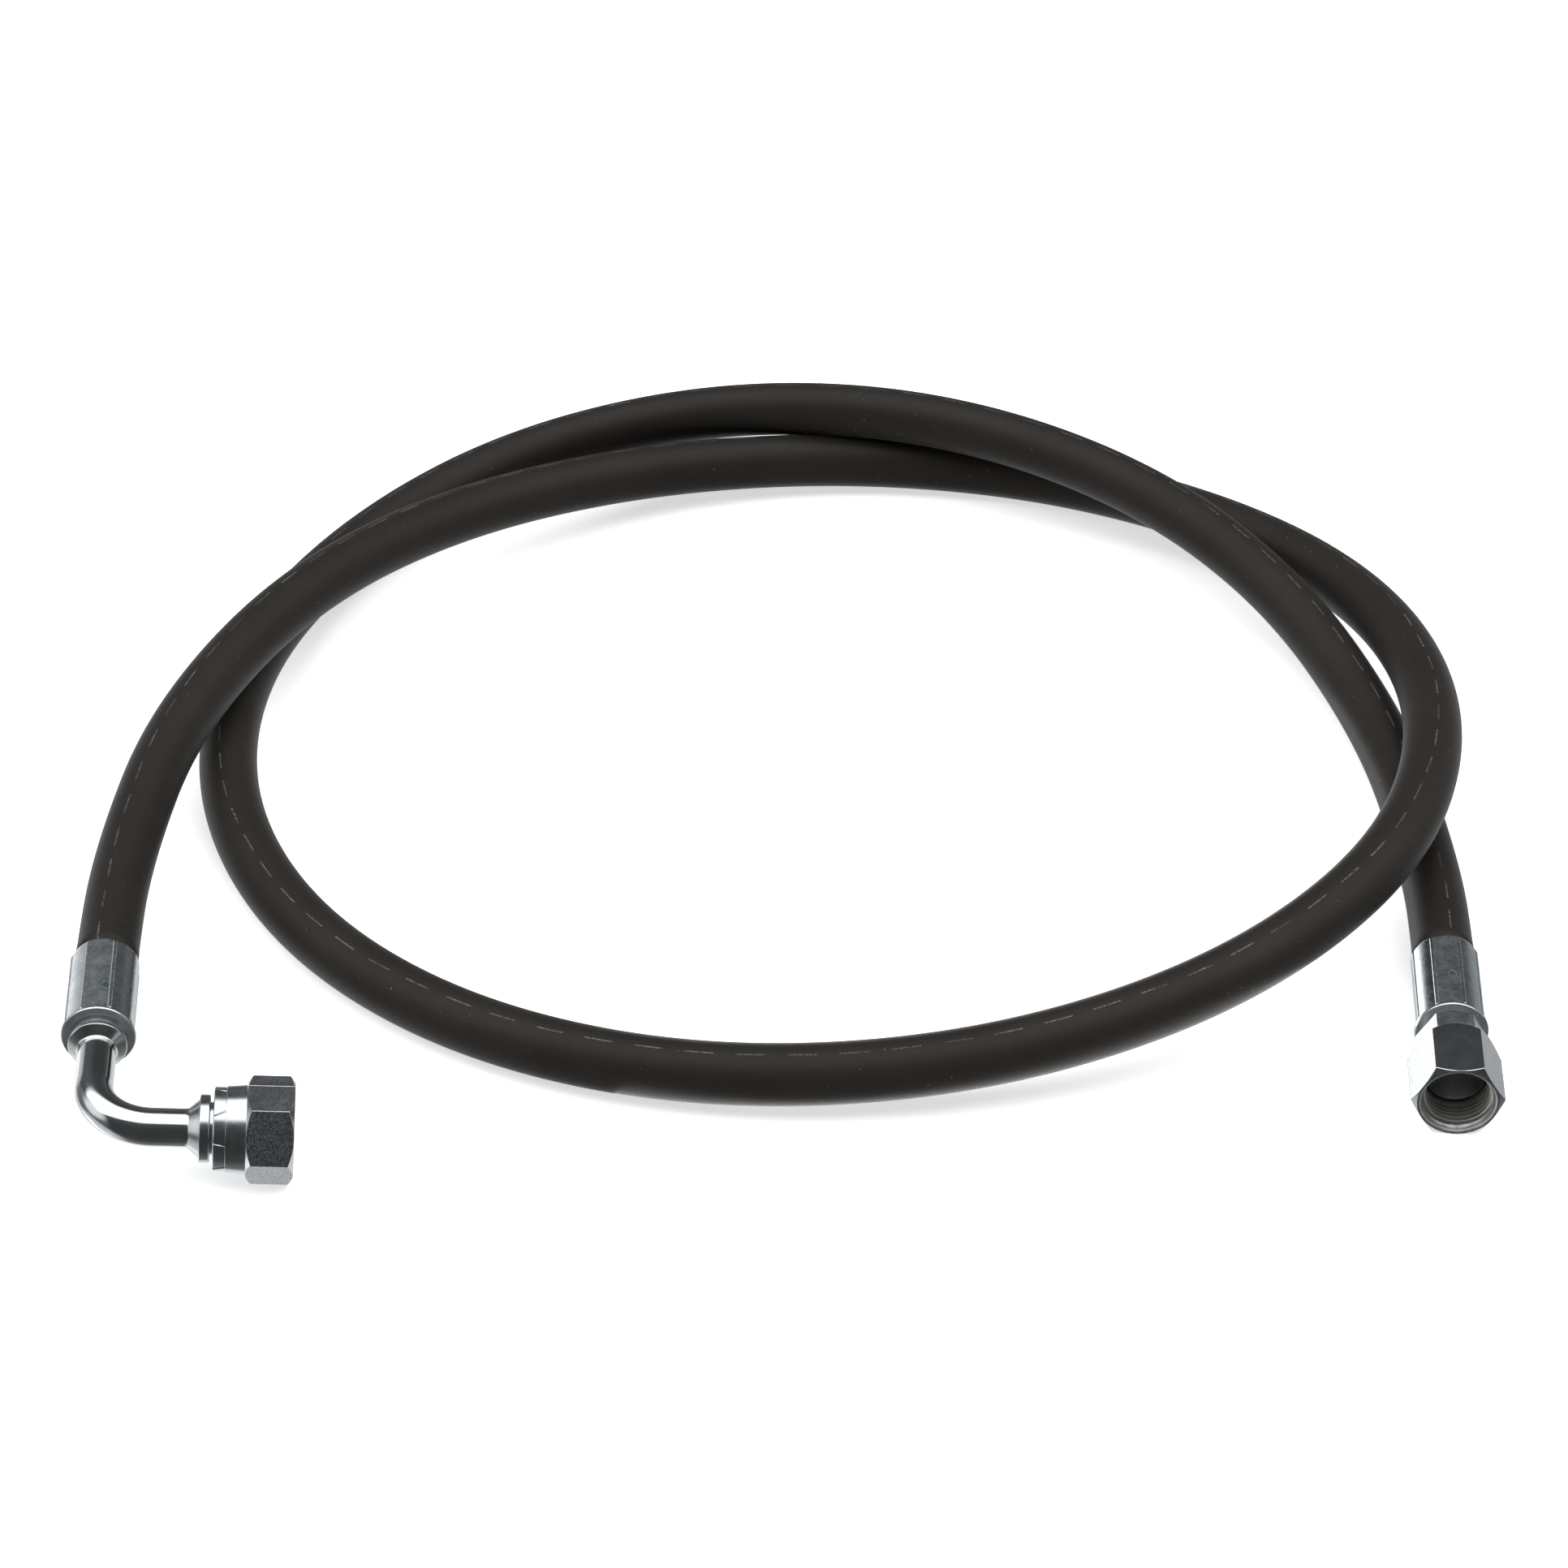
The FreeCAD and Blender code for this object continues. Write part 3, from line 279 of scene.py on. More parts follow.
def rubber(name, colour, rough, print_line=False):
    """Extruded cover: satin, with fine pores, dust specks and lengthwise lines."""
    t = Tree(name)
    v = t.coords()
    broad = t.noise(v, 26.0, 4.0, 0.6)
    fine = t.noise(v, 1900.0, 4.0, 0.65)
    dust = t.noise(v, 900.0, 1.0, 0.5)
    base = t.mix(t.remap(broad, 0.3, 0.7, 0.0, 1.0), tinted(colour, 0.86), tinted(colour, 1.14))
    base = t.mix(t.remap(fine, 0.62, 0.78, 0.0, 0.22), base, tinted(colour, 2.4))
    base = t.mix(t.remap(dust, 0.775, 0.80, 0.0, 0.55), base, (0.16, 0.15, 0.14, 1.0))
    height = fine
    if print_line:
        u, along, _ = t.split(t.coords("UV"))
        side = t.math("MULTIPLY", t.math("SUBTRACT", t.math("FRACT", t.math("ADD", u, 0.5 + 0.03)), 0.5), 54.0)
        mm = t.math("MULTIPLY", along, 1000.0)
        wobble = t.remap(t.noise(v, 30.0, 1.0, 0.5), 0.3, 0.7, -0.25, 0.25)
        off = t.math("ABSOLUTE", t.math("ADD", side, wobble))
        dash = t.math("MULTIPLY",
                      t.math("LESS_THAN", t.math("MODULO", mm, 14.0), 8.0),
                      t.math("LESS_THAN", off, 0.24))
        worn = t.remap(t.noise(v, 1300.0, 3.0, 0.7), 0.36, 0.60, 0.0, 1.0)
        patch = t.remap(t.noise(v, 55.0, 2.0, 0.5), 0.34, 0.62, 0.35, 1.0)
        ink = t.math("MULTIPLY", dash, t.math("MULTIPLY", worn, patch))
        base = t.mix(t.math("MULTIPLY", ink, 0.62), base, (0.22, 0.215, 0.21, 1.0))
        lines = t.node("ShaderNodeCombineXYZ")
        t.put(lines.inputs[0], t.math("MULTIPLY", u, 54.0))
        t.put(lines.inputs[1], t.math("MULTIPLY", along, 6.0))
        drawn = t.noise(lines.outputs[0], 9.0, 3.0, 0.6)
        height = t.math("ADD", t.math("MULTIPLY", fine, 0.7), t.math("MULTIPLY", drawn, 0.5))
    t.put(t.bsdf.inputs["Base Color"], base)
    t.put(t.bsdf.inputs["Roughness"], t.remap(fine, 0.3, 0.7, rough - 0.06, rough + 0.08))
    t.bsdf.inputs["Specular IOR Level"].default_value = 0.17
    t.bsdf.inputs["Sheen Weight"].default_value = 0.08
    t.bsdf.inputs["Sheen Roughness"].default_value = 0.35
    t.put(t.bsdf.inputs["Normal"], t.bump(height, 0.30, 0.00007))
    return t.mat


mat_cover = rubber("rubber_cover", (0.0178, 0.0150, 0.0124), 0.50, True)
mat_liner = rubber("rubber_liner", (0.02, 0.02, 0.02), 0.5)


def paint(node, material):
    o = NODES[node]
    o.data.materials.clear()
    o.data.materials.append(material)


for node, material in {
    "hose_cover": mat_cover, "outer_wire_braid": mat_braid, "braid_separator": mat_liner,
    "inner_wire_braid": mat_braid, "hose_liner": mat_liner,
    "elbow_ferrule": mat_turned, "straight_ferrule": mat_turned,
    "elbow_hose_tail": mat_turned, "elbow_pipe": mat_pipe, "tail_braze_fillet": mat_braze,
    "head_braze_fillet": mat_braze, "elbow_swivel_head": mat_turned,
    "elbow_swivel_nut": mat_hex, "straight_stem": mat_turned,
    "straight_retaining_wire": mat_wire, "straight_swivel_nut": mat_hex,
}.items():
    paint(node, material)

# -------------------------------------------------------------------- hose
ROUTE = [
    (-0.18468, 0.0072601, 0.01761), (-0.1867727, 0.037187, 0.01761), (-0.18772, 0.08316, 0.0189),
    (-0.17822, 0.14046, 0.0271), (-0.14802, 0.20566, 0.0299), (-0.10302, 0.26256, 0.0223),
    (-0.04222, 0.30336, 0.013), (0.02808, 0.31716, 0.0088), (0.09808, 0.30326, 0.0088),
    (0.15788, 0.26066, 0.013), (0.18988, 0.20026, 0.0216), (0.19538, 0.13016, 0.0295),
    (0.17418, 0.06676, 0.0296), (0.12448, 0.02096, 0.022), (0.05618, -0.00344, 0.0137),
    (-0.01842, -0.00574, 0.0095), (-0.08602, 0.01596, 0.0088), (-0.13792, 0.06176, 0.0089),
    (-0.16632, 0.12746, 0.0088), (-0.16532, 0.20116, 0.0089), (-0.13412, 0.26556, 0.0112),
    (-0.08412, 0.31076, 0.0158), (-0.01752, 0.32776, 0.0224), (0.05068, 0.31406, 0.027),
    (0.11278, 0.27726, 0.0252), (0.15668, 0.22586, 0.0182), (0.18238, 0.15626, 0.0105),
    (0.18808, 0.08736, 0.0099), (0.1862516, 0.0468241, 0.01128), (0.1842947, 0.016888, 0.01128),
]
HOSE_D = 0.0172
curve = bpy.data.curves.new("hose_line", "CURVE")
curve.dimensions = "3D"
spline = curve.splines.new("NURBS")
spline.points.add(len(ROUTE) - 1)
for p, co in zip(spline.points, ROUTE):
    p.co = (*co, 1.0)
spline.order_u = 3
spline.use_endpoint_u = True
spline.resolution_u = 24
line_object = bpy.data.objects.new("hose_line", curve)
bpy.context.scene.collection.objects.link(line_object)
bpy.context.view_layer.update()
line_mesh = bpy.data.meshes.new_from_object(line_object)
line = [v.co.copy() for v in line_mesh.vertices]
bpy.data.objects.remove(line_object)
bpy.data.meshes.remove(line_mesh)
bpy.data.curves.remove(curve)


def tube(name, line, radius_at, sides, up=Vector((0, 0, 1))):
    """A closed tube along line with a UV map: u round it, v metres along it."""
    verts, faces, uvs = [], [], []
    along = [0.0]
    for a, b in zip(line, line[1:]):
        along.append(along[-1] + (b - a).length)
    total = along[-1]
    side = None
    for k, p in enumerate(line):
        t = (line[min(k + 1, len(line) - 1)] - line[max(k - 1, 0)]).normalized()
        if side is None:
            side = t.cross(up).normalized()
        else:
            side = (side - t * side.dot(t)).normalized()
        top = side.cross(t)
        r = radius_at(along[k], total)
        for j in range(sides):
            a = 2 * math.pi * j / sides
            verts.append(p + (side * math.sin(a) + top * math.cos(a)) * r)
    for k in range(len(line) - 1):
        for j in range(sides):
            j2 = (j + 1) % sides
            faces.append((k * sides + j, k * sides + j2, (k + 1) * sides + j2, (k + 1) * sides + j))
            uvs.append(((j / sides, along[k]), ((j + 1) / sides, along[k]),
                        ((j + 1) / sides, along[k + 1]), (j / sides, along[k + 1])))
    first = tuple(range(sides - 1, -1, -1))
    last = tuple(len(verts) - sides + j for j in range(sides))
    for ring, v in ((first, 0.0), (last, total)):
        faces.append(ring)
        uvs.append(tuple((0.5, v) for _ in ring))
    mesh = bpy.data.meshes.new(name)
    mesh.from_pydata([tuple(v) for v in verts], [], faces)
    layer = mesh.uv_layers.new(name="UVMap")
    i = 0
    for corners in uvs:
        for uv in corners:
            layer.data[i].uv = uv
            i += 1
    for p in mesh.polygons:
        p.use_smooth = len(p.vertices) == 4
    mesh.validate()
    o = bpy.data.objects.new(name, mesh)
    bpy.context.scene.collection.objects.link(o)
    return o, total


CRIMPED = 0.00785
IN_ELBOW, IN_STRAIGHT = 0.0279, 0.0279


def hose_radius(s, total):
    """Squeezed inside each ferrule, swollen a little just outside it."""
    near = min(s - IN_ELBOW, total - IN_STRAIGHT - s)
    inside = max(0.0, min(1.0, near / 0.0022))
    ease = inside * inside * (3 - 2 * inside)
    swell = 0.00010 * math.exp(-((near - 0.0035) / 0.0025) ** 2)
    return CRIMPED - 0.0001 + (HOSE_D / 2 - CRIMPED + 0.0001) * ease + swell


def spaced(line, step):
    out = [line[0].copy()]
    left = step
    for a, b in zip(line, line[1:]):
        d = (b - a).length
        at = left
        while at <= d:
            out.append(a.lerp(b, at / d))
            at += step
        left = at - d
    if (out[-1] - line[-1]).length > step * 0.3:
        out.append(line[-1].copy())
    else:
        out[-1] = line[-1].copy()
    return out


points = spaced(line, 0.0011)
hose, hose_length = tube("hose_cover_visible", points, hose_radius, 64)
hose.data.materials.append(mat_cover)
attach(hose, ROOT)
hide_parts("hose_cover")
print("hose length", round(hose_length, 4))

# ------------------------------------------------------------ local frames
yaw, dip = math.radians(4.0), math.radians(5.3)
corner = Vector((-0.18182, -0.03364, 0.01761))
nut_dir = Vector((math.cos(yaw) * math.cos(dip), math.sin(yaw) * math.cos(dip), -math.sin(dip)))
leg_dir = Vector((-math.sin(yaw), math.cos(yaw), 0.0))
elbow_up = nut_dir.cross(leg_dir)
yaw2 = math.radians(3.74)
mouth = Vector((0.18209, -0.01684, 0.01128))
hose_dir = Vector((math.sin(yaw2), math.cos(yaw2), 0.0))


def place(origin, z, x, turn=0.0):
    """Local Z along the piece's own axis, local X towards the top."""
    x = (x - z * x.dot(z)).normalized()
    y = z.cross(x)
    m = Matrix((x, y, z)).transposed().to_4x4()
    m.translation = origin
    return m @ Matrix.Rotation(math.radians(turn), 4, "Z")


LEG = place(corner, leg_dir, elbow_up)
HEAD = place(corner, nut_dir, elbow_up)
STRAIGHT = place(mouth, hose_dir, Vector((0, 0, 1)))
ELBOW = Matrix((nut_dir, leg_dir, elbow_up)).transposed().to_4x4()
ELBOW.translation = corner


# --------------------------------------------------------- metal part maker
def softened(points, default=0.12, steps=3, closed=True):
    """Rounds each corner of a profile.  A point is (radius, station, material,
    rounding); extra points beside each corner keep the long faces true."""
    out = []
    n = len(points)
    for i, p in enumerate(points):
        r, t, m = p[0], p[1], p[2] if len(p) > 2 else 0
        cut = p[3] if len(p) > 3 else default
        if (not closed and i in (0, n - 1)) or cut == 0:
            out.append((r, t, m))
            continue
        a, b = points[i - 1], points[(i + 1) % n]
        before = a[2] if len(a) > 2 else 0
        la, lb = math.hypot(a[0] - r, a[1] - t), math.hypot(b[0] - r, b[1] - t)
        d = min(cut, 0.36 * la, 0.36 * lb)
        sa, sb = min(0.05, 0.08 * la), min(0.05, 0.08 * lb)

        def towards(q, length, distance):
            k = distance / length
            return (r + (q[0] - r) * k, t + (q[1] - t) * k)

        p1, p2 = towards(a, la, d), towards(b, lb, d)
        out.append((*towards(a, la, d + sa), before))
        for k in range(steps + 1):
            s = k / steps
            x = (1 - s) ** 2 * p1[0] + 2 * s * (1 - s) * r + s * s * p2[0]
            y = (1 - s) ** 2 * p1[1] + 2 * s * (1 - s) * t + s * s * p2[1]
            out.append((x, y, m))
        out.append((*towards(b, lb, d + sb), m))
    return out


def lathe(name, where, angles, column, materials, body, nodes, thread=None):
    """A closed solid with one profile per angle, so it can be round, faceted
    or crimped.  thread closes an open profile with a cut thread: its start
    and end stations, pitch, the radius for a station and a phase, and the
    materials of its flanks and crests."""
    verts, faces, kinds, uvs = [], [], [], []
    full = 2 * math.pi

    def put(r, t, a):
        verts.append((r * math.cos(a) / 1000, r * math.sin(a) / 1000, t / 1000))
        return len(verts) - 1

    n = len(angles)
    columns = [column(a) for a in angles]
    m = len(columns[0])
    grid = [[put(r, t, a) for r, t, _ in col] for col, a in zip(columns, angles)]
    lengths = []
    for col in columns:
        run = [0.0]
        for p, q in zip(col, col[1:] + col[:1]):
            run.append(run[-1] + math.hypot(q[0] - p[0], q[1] - p[1]) / 1000)
        lengths.append(run)
    for i in range(n):
        j = (i + 1) % n
        a0, a1 = angles[i], angles[i + 1] if i + 1 < n else full + angles[0]
        for k in range(m if thread is None else m - 1):
            k2 = (k + 1) % m
            faces.append((grid[i][k], grid[j][k], grid[j][k2], grid[i][k2]))
            kinds.append(columns[i][k][2])
            u0, u1 = a0 * 0.010, a1 * 0.010
            uvs.append(((u0, lengths[i][k]), (u1, lengths[j][k]),
                        (u1, lengths[j][k + 1]), (u0, lengths[i][k + 1])))
    if thread:
        low, high, pitch, radius_of, kind, crest = thread
        per = 16
        step = pitch / per
        rows = int(math.ceil((high - low) / step)) + per + 1
        patch = []
        for a in angles:
            col = []
            for j in range(rows + 1):
                t = low + (j - per) * step + pitch * a / full
                t = min(high, max(low, t))
                col.append((put(radius_of(t, ((j - per) % per) / per), t, a), t))
            patch.append(col)
        for i in range(n):
            last = i + 1 == n
            nxt = patch[0] if last else patch[i + 1]
            shift = per if last else 0
            a0, a1 = angles[i], full if last else angles[i + 1]
            for j in range(rows):
                j0, j1 = min(j + shift, rows), min(j + 1 + shift, rows)
                faces.append((patch[i][j][0], nxt[j0][0], nxt[j1][0], patch[i][j + 1][0]))
                kinds.append(crest if j % per in (0, 1, per - 1) else kind)
                uvs.append(((a0 * 0.01, patch[i][j][1] / 1000), (a1 * 0.01, nxt[j0][1] / 1000),
                            (a1 * 0.01, nxt[j1][1] / 1000), (a0 * 0.01, patch[i][j + 1][1] / 1000)))
    bm = bmesh.new()
    made = [bm.verts.new(v) for v in verts]
    layer = bm.loops.layers.uv.new("UVMap")
    for corners, kind, uv in zip(faces, kinds, uvs):
        if len(set(corners)) < 4:
            continue
        f = bm.faces.new([made[c] for c in corners])
        f.material_index = kind
        f.smooth = True
        for loop, co in zip(f.loops, uv):
            loop[layer].uv = co
    bmesh.ops.remove_doubles(bm, verts=bm.verts, dist=4e-7)
    bmesh.ops.dissolve_degenerate(bm, edges=bm.edges, dist=2e-7)
    loose = [v for v in bm.verts if not v.link_faces]
    bmesh.ops.delete(bm, geom=loose, context="VERTS")
    bmesh.ops.recalc_face_normals(bm, faces=bm.faces)
    open_edges = sum(1 for e in bm.edges if len(e.link_faces) != 2)
    volume = bm.calc_volume(signed=True)
    if volume < 0:
        bmesh.ops.reverse_faces(bm, faces=bm.faces)
    mesh = bpy.data.meshes.new(name)
    bm.to_mesh(mesh)
    bm.free()
    for material in materials:
        mesh.materials.append(material)
    mesh.set_sharp_from_angle(angle=math.radians(40.0))
    o = bpy.data.objects.new(name, mesh)
    o.matrix_world = where
    bpy.context.scene.collection.objects.link(o)
    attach(o, body)
    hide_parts(*nodes)
    print("%-24s faces %6d  open edges %d  volume %.1f mm3" % (name, len(mesh.polygons), open_edges, abs(volume) * 1e9))
    return o


def even(count):
    return [2 * math.pi * k / count for k in range(count)]


def distinct(angles, gap=0.002):
    out = []
    for a in sorted(angles):
        if not out or a - out[-1] > gap:
            out.append(a)
    if 2 * math.pi + out[0] - out[-1] <= gap:
        out.pop()
    return out


def hexagon_angles(half, rounding, more=()):
    """Columns every 3 degrees, and close together round each corner."""
    tangent = math.atan((half - rounding) * math.tan(math.pi / 6) / half)
    away = math.pi / 6 - tangent
    near = [math.pi / 6 + k * math.pi / 3 + f * away for k in range(6) for f in (-1.5, -1.0, -0.5, 0.0, 0.5, 1.0, 1.5)]
    rest = [a for a in list(even(120)) + list(more) if min(abs(a - c) for c in near) > 0.004]
    return distinct(near + rest)


def hexagon_radius(a, half, rounding):
    phi = abs((a + math.pi / 6) % (math.pi / 3) - math.pi / 6)
    tangent = math.atan((half - rounding) * math.tan(math.pi / 6) / half)
    if phi <= tangent:
        return half / math.cos(phi)
    psi = math.pi / 6 - phi
    d = (half - rounding) / math.cos(math.pi / 6)
    return d * math.cos(psi) + math.sqrt(max(0.0, rounding ** 2 - (d * math.sin(psi)) ** 2))


# ---------------------------------------------------------------- ferrules
JAW_X = 9.5 * math.cos(math.radians(19.0))
JAW_Y = 9.5 * math.sin(math.radians(19.0))
JAW_C = JAW_X - math.sqrt(13.2 ** 2 - JAW_Y ** 2)


def jaw_angles():
    out = []
    for k in range(8):
        for d in (-22.5, -21.6, -20.7, -20.1, -19.6, -19.2, -18.8, -17.5, -15, -12, -9, -6, -3, 0,
                  3, 6, 9, 12, 15, 17.5, 18.8, 19.2, 19.6, 20.1, 20.7, 21.6):
            out.append(math.radians(45 * k + d) % (2 * math.pi))
    return distinct(out)


def shell_radius(a):
    """The crimped barrel: eight jaw faces with a raised ridge between them."""
    phi = abs((math.degrees(a) + 22.5) % 45.0 - 22.5)
    face = math.radians(min(phi, 19.2))
    floor = JAW_C * math.cos(face) + math.sqrt(13.2 ** 2 - (JAW_C * math.sin(face)) ** 2)
    rise = max(0.0, min(1.0, (phi - 18.9) / 1.1))
    return floor + (9.75 - floor) * rise * rise * (3 - 2 * rise)


mat_faced = lathed("zinc_lip_face", (0.64, 0.67, 0.675), 0.33, 0.3, 0.92)
BURRS = (0.42, 0.30, 0.50, 0.26, 0.38, 0.46, 0.24, 0.36)


def ferrule(name, where, s, material, node):
    def column(a):
        r = shell_radius(a)
        deg = math.degrees(a)
        off = abs(deg % 45.0 - 22.5)
        hump = max(0.0, 1.0 - (off / 2.6) ** 2)
        burr = BURRS[int((deg // 45) % 8)] * hump
        fall = (9.75 - r) / 0.75 * 1.6
        return softened([
            (6.4, s + 2.25, 1, 0.05), (9.66, s + 2.25, 1, 0.12), (10.02, s + 2.47, 0, 0.16),
            (10.15, s + 2.85, 0, 0.18), (10.15, s + 3.30, 0, 0.15), (9.98, s + 3.58, 0, 0.10),
            (9.80 + burr, s + 3.72 + 0.10 * hump, 0, 0.08), (9.66 + burr * 0.9, s + 3.98 + 0.30 * hump, 0, 0.08),
            (r, s + 4.18 + 0.40 * hump, 0, 0.08),
            (r, s + 32.9 + fall, 0, 0.25), (9.0, s + 34.5, 0, 0.10), (8.0, s + 34.5, 0, 0.10),
            (7.85, s + 34.3, 0, 0.05), (7.85, s + 3.6, 0, 0.05), (6.4, s + 3.6, 0, 0.05),
        ])

    return lathe(name, where, jaw_angles(), column, [material, mat_faced], ROOT, [node])


TURN = Matrix.Rotation(math.radians(-5.0), 4, "Z")
# painted light: the two ferrules are one crimped zinc, and the elbow one gets a lighter base than the straight one
# because it stands in brighter light
shell_a = crimped("zinc_crimped_elbow", (0.60, 0.64, 0.65), 0.24, 0.0384, (0.00211, 0.0480, 0.0011, 0.0015))
shell_b = crimped("zinc_crimped_straight", (0.49, 0.525, 0.545), 0.235, 0.0312, (0.00123, 0.0440, 0.0010, 0.0014))
elbow_ferrule = ferrule("elbow_ferrule_shell", LEG @ TURN, 34.4, shell_a, "elbow_ferrule")
straight_ferrule = ferrule("straight_ferrule_shell", STRAIGHT @ TURN, 27.2, shell_b, "straight_ferrule")


# ------------------------------------------------------------ hose tail
def barbs(start, count=5, pitch=4.4):
    rows = []
    for k in range(count):
        b = start + k * pitch
        rows += [(4.35, b + 0.8), (4.35, b + 2.8), (4.75, b + 2.9), (4.75, b + 3.5)]
    return rows


def plain(points, default=0.12):
    ring = softened(points, default)
    return lambda a: ring


lathe("elbow_hose_tail_turned", LEG, even(128), plain([
    (5.2, 31.2, 0, 0.03), (5.7, 31.2, 0, 0.03), (7.75, 32.72, 0, 0.10), (8.0, 33.0, 0, 0.10),
    (8.0, 36.65), (6.4, 36.65), (6.4, 38.0), (7.2, 38.0), (7.2, 41.0), (4.75, 41.0)]
    + [(r, t) for r, t in barbs(41.0)] + [(3.85, 66.6), (3.2, 66.6), (3.2, 38.8), (5.2, 38.8)]),
    [mat_turned], ROOT, ["elbow_hose_tail"])


# --------------------------------------------------------------- bent tube
def bent_tube(name):
    """Both walls swept along leg, bend and arm; the bend is a little
    flattened in its own plane, as a drawn bend is."""
    R = 16.5
    path = []
    for k in range(9):
        path.append((Vector((0, 38.8 - (38.8 - R) * k / 8, 0)), Vector((0, -1, 0)), 0.0))
    steps = 40
    for k in range(1, steps + 1):
        a = math.pi / 2 * k / steps
        path.append((Vector((R - R * math.cos(a), R - R * math.sin(a), 0)),
                     Vector((math.sin(a), -math.cos(a), 0)), math.sin(math.pi * k / steps)))
    for k in range(1, 7):
        path.append((Vector((R + (29.65 - R) * k / 6, 0, 0)), Vector((1, 0, 0)), 0.0))
    sides = 96
    verts, faces = [], []
    rings = []
    up = Vector((0, 0, 1))
    for radius in (5.2, 3.6):
        for p, d, bendy in path:
            out = d.cross(up) * -1
            ring = []
            for j in range(sides):
                a = 2 * math.pi * j / sides
                flat, tall = 1.0 - 0.018 * bendy, 1.0 + 0.006 * bendy
                q = p + out * (radius * flat * math.cos(a)) + up * (radius * tall * math.sin(a))
                ring.append(len(verts))
                verts.append(tuple(q / 1000))
            rings.append(ring)
    n = len(path)
    order = list(range(n)) + list(range(2 * n - 1, n - 1, -1))
    for a, b in zip(order, order[1:] + order[:1]):
        for j in range(sides):
            j2 = (j + 1) % sides
            faces.append((rings[a][j], rings[a][j2], rings[b][j2], rings[b][j]))
    bm = bmesh.new()
    made = [bm.verts.new(v) for v in verts]
    for f in faces:
        face = bm.faces.new([made[c] for c in f])
        face.smooth = True
    bmesh.ops.recalc_face_normals(bm, faces=bm.faces)
    if bm.calc_volume(signed=True) < 0:
        bmesh.ops.reverse_faces(bm, faces=bm.faces)
    mesh = bpy.data.meshes.new(name)
    bm.to_mesh(mesh)
    bm.free()
    mesh.set_sharp_from_angle(angle=math.radians(40.0))
    mesh.materials.append(mat_pipe)
    o = bpy.data.objects.new(name, mesh)
    o.matrix_world = ELBOW
    bpy.context.scene.collection.objects.link(o)
    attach(o, ROOT)
    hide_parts("elbow_pipe")
    return o


bent_tube("elbow_bent_tube")


# ------------------------------------------------------------ braze fillets
def wavy(points, amount, lobes):
    """A bead whose visible edge wanders a little round the joint."""
    def column(a):
        w = amount * (0.6 * math.sin(lobes * a + 0.7) + 0.4 * math.sin((2 * lobes + 1) * a + 2.1))
        return [(r + (w * 0.5 if k in (2, 3) else 0.0), t + (w if k in (1, 2) else 0.0), 0)
                for k, (r, t) in enumerate(points)]
    return column


lathe("tail_braze_bead", LEG, even(128), wavy([
    (5.10, 30.40), (5.22, 30.45), (5.33, 30.76), (5.48, 31.0), (5.68, 31.18), (5.86, 31.33),
    (5.76, 31.42), (5.10, 31.42)], 0.09, 3), [mat_braze], ROOT, ["tail_braze_fillet"])
lathe("head_braze_bead", HEAD, even(128), wavy([
    (5.10, 25.20), (5.23, 25.25), (5.30, 25.55), (5.42, 25.85), (5.62, 26.08), (5.78, 26.28),
    (5.70, 26.45), (5.10, 26.45)], 0.08, 4), [mat_braze], ROOT, ["head_braze_fillet"])

# ------------------------------------------------------- elbow swivel head
lathe("elbow_swivel_head_turned", HEAD, even(128), plain([
    (5.2, 26.05, 0, 0.03), (5.6, 26.05, 0, 0.03), (7.85, 28.7, 0, 0.05), (8.78, 28.7, 0, 0.06), (9.05, 28.98, 0, 0.08),
    (9.05, 31.22, 0, 0.08), (8.80, 31.5, 0, 0.06), (7.1, 31.5), (7.1, 33.8), (9.9, 36.6), (9.9, 41.6, 0, 0.3),
    (9.2, 42.3, 0, 0.1), (9.0, 42.3, 0, 0.1), (3.6, 35.134), (3.6, 29.65), (5.2, 29.65)]),
    [mat_turned], ROOT, ["elbow_swivel_head"])


# -------------------------------------------------------------- swivel nuts
def thread_radius(minor, major, cone, fade):
    """Radius of a 60 degree internal thread: flat crests and roots, cut back
    by the entry cone at one end and run out at the other."""
    def radius(t, phase):
        if phase < 0.125:
            depth = 0.0
        elif phase < 0.5:
            depth = (phase - 0.125) / 0.375
        elif phase < 0.625:
            depth = 1.0
        else:
            depth = (1.0 - phase) / 0.375
        w = max(0.0, min(1.0, fade(t)))
        w = w * w * (3 - 2 * w)
        return max(minor + (major - minor) * depth * w, cone(t))
    return radius


BIG, BIG_ROUND = 12.7, 0.35


SLANTS = (-7.0, 3.0, -5.0, 4.0, -6.0, 5.0, -3.0, 6.0)


def band_radius(a, t):
    """Eight crimp marks, with a slanting fold of metal between each two."""
    deg = math.degrees(a) - 28.0
    k = math.floor((deg + 22.5) / 45.0)
    off = deg - 45.0 * k - SLANTS[int(k) % 8] * (t - 34.1) / 3.0
    floor = 11.20 - 0.05 * min(1.0, abs(off) / 22.0)
    fold = max(0.0, 1.0 - (off / 1.3) ** 2) * 0.14
    dent = max(0.0, 1.0 - ((off + 2.3) / 1.6) ** 2) * 0.07
    return floor + fold - dent


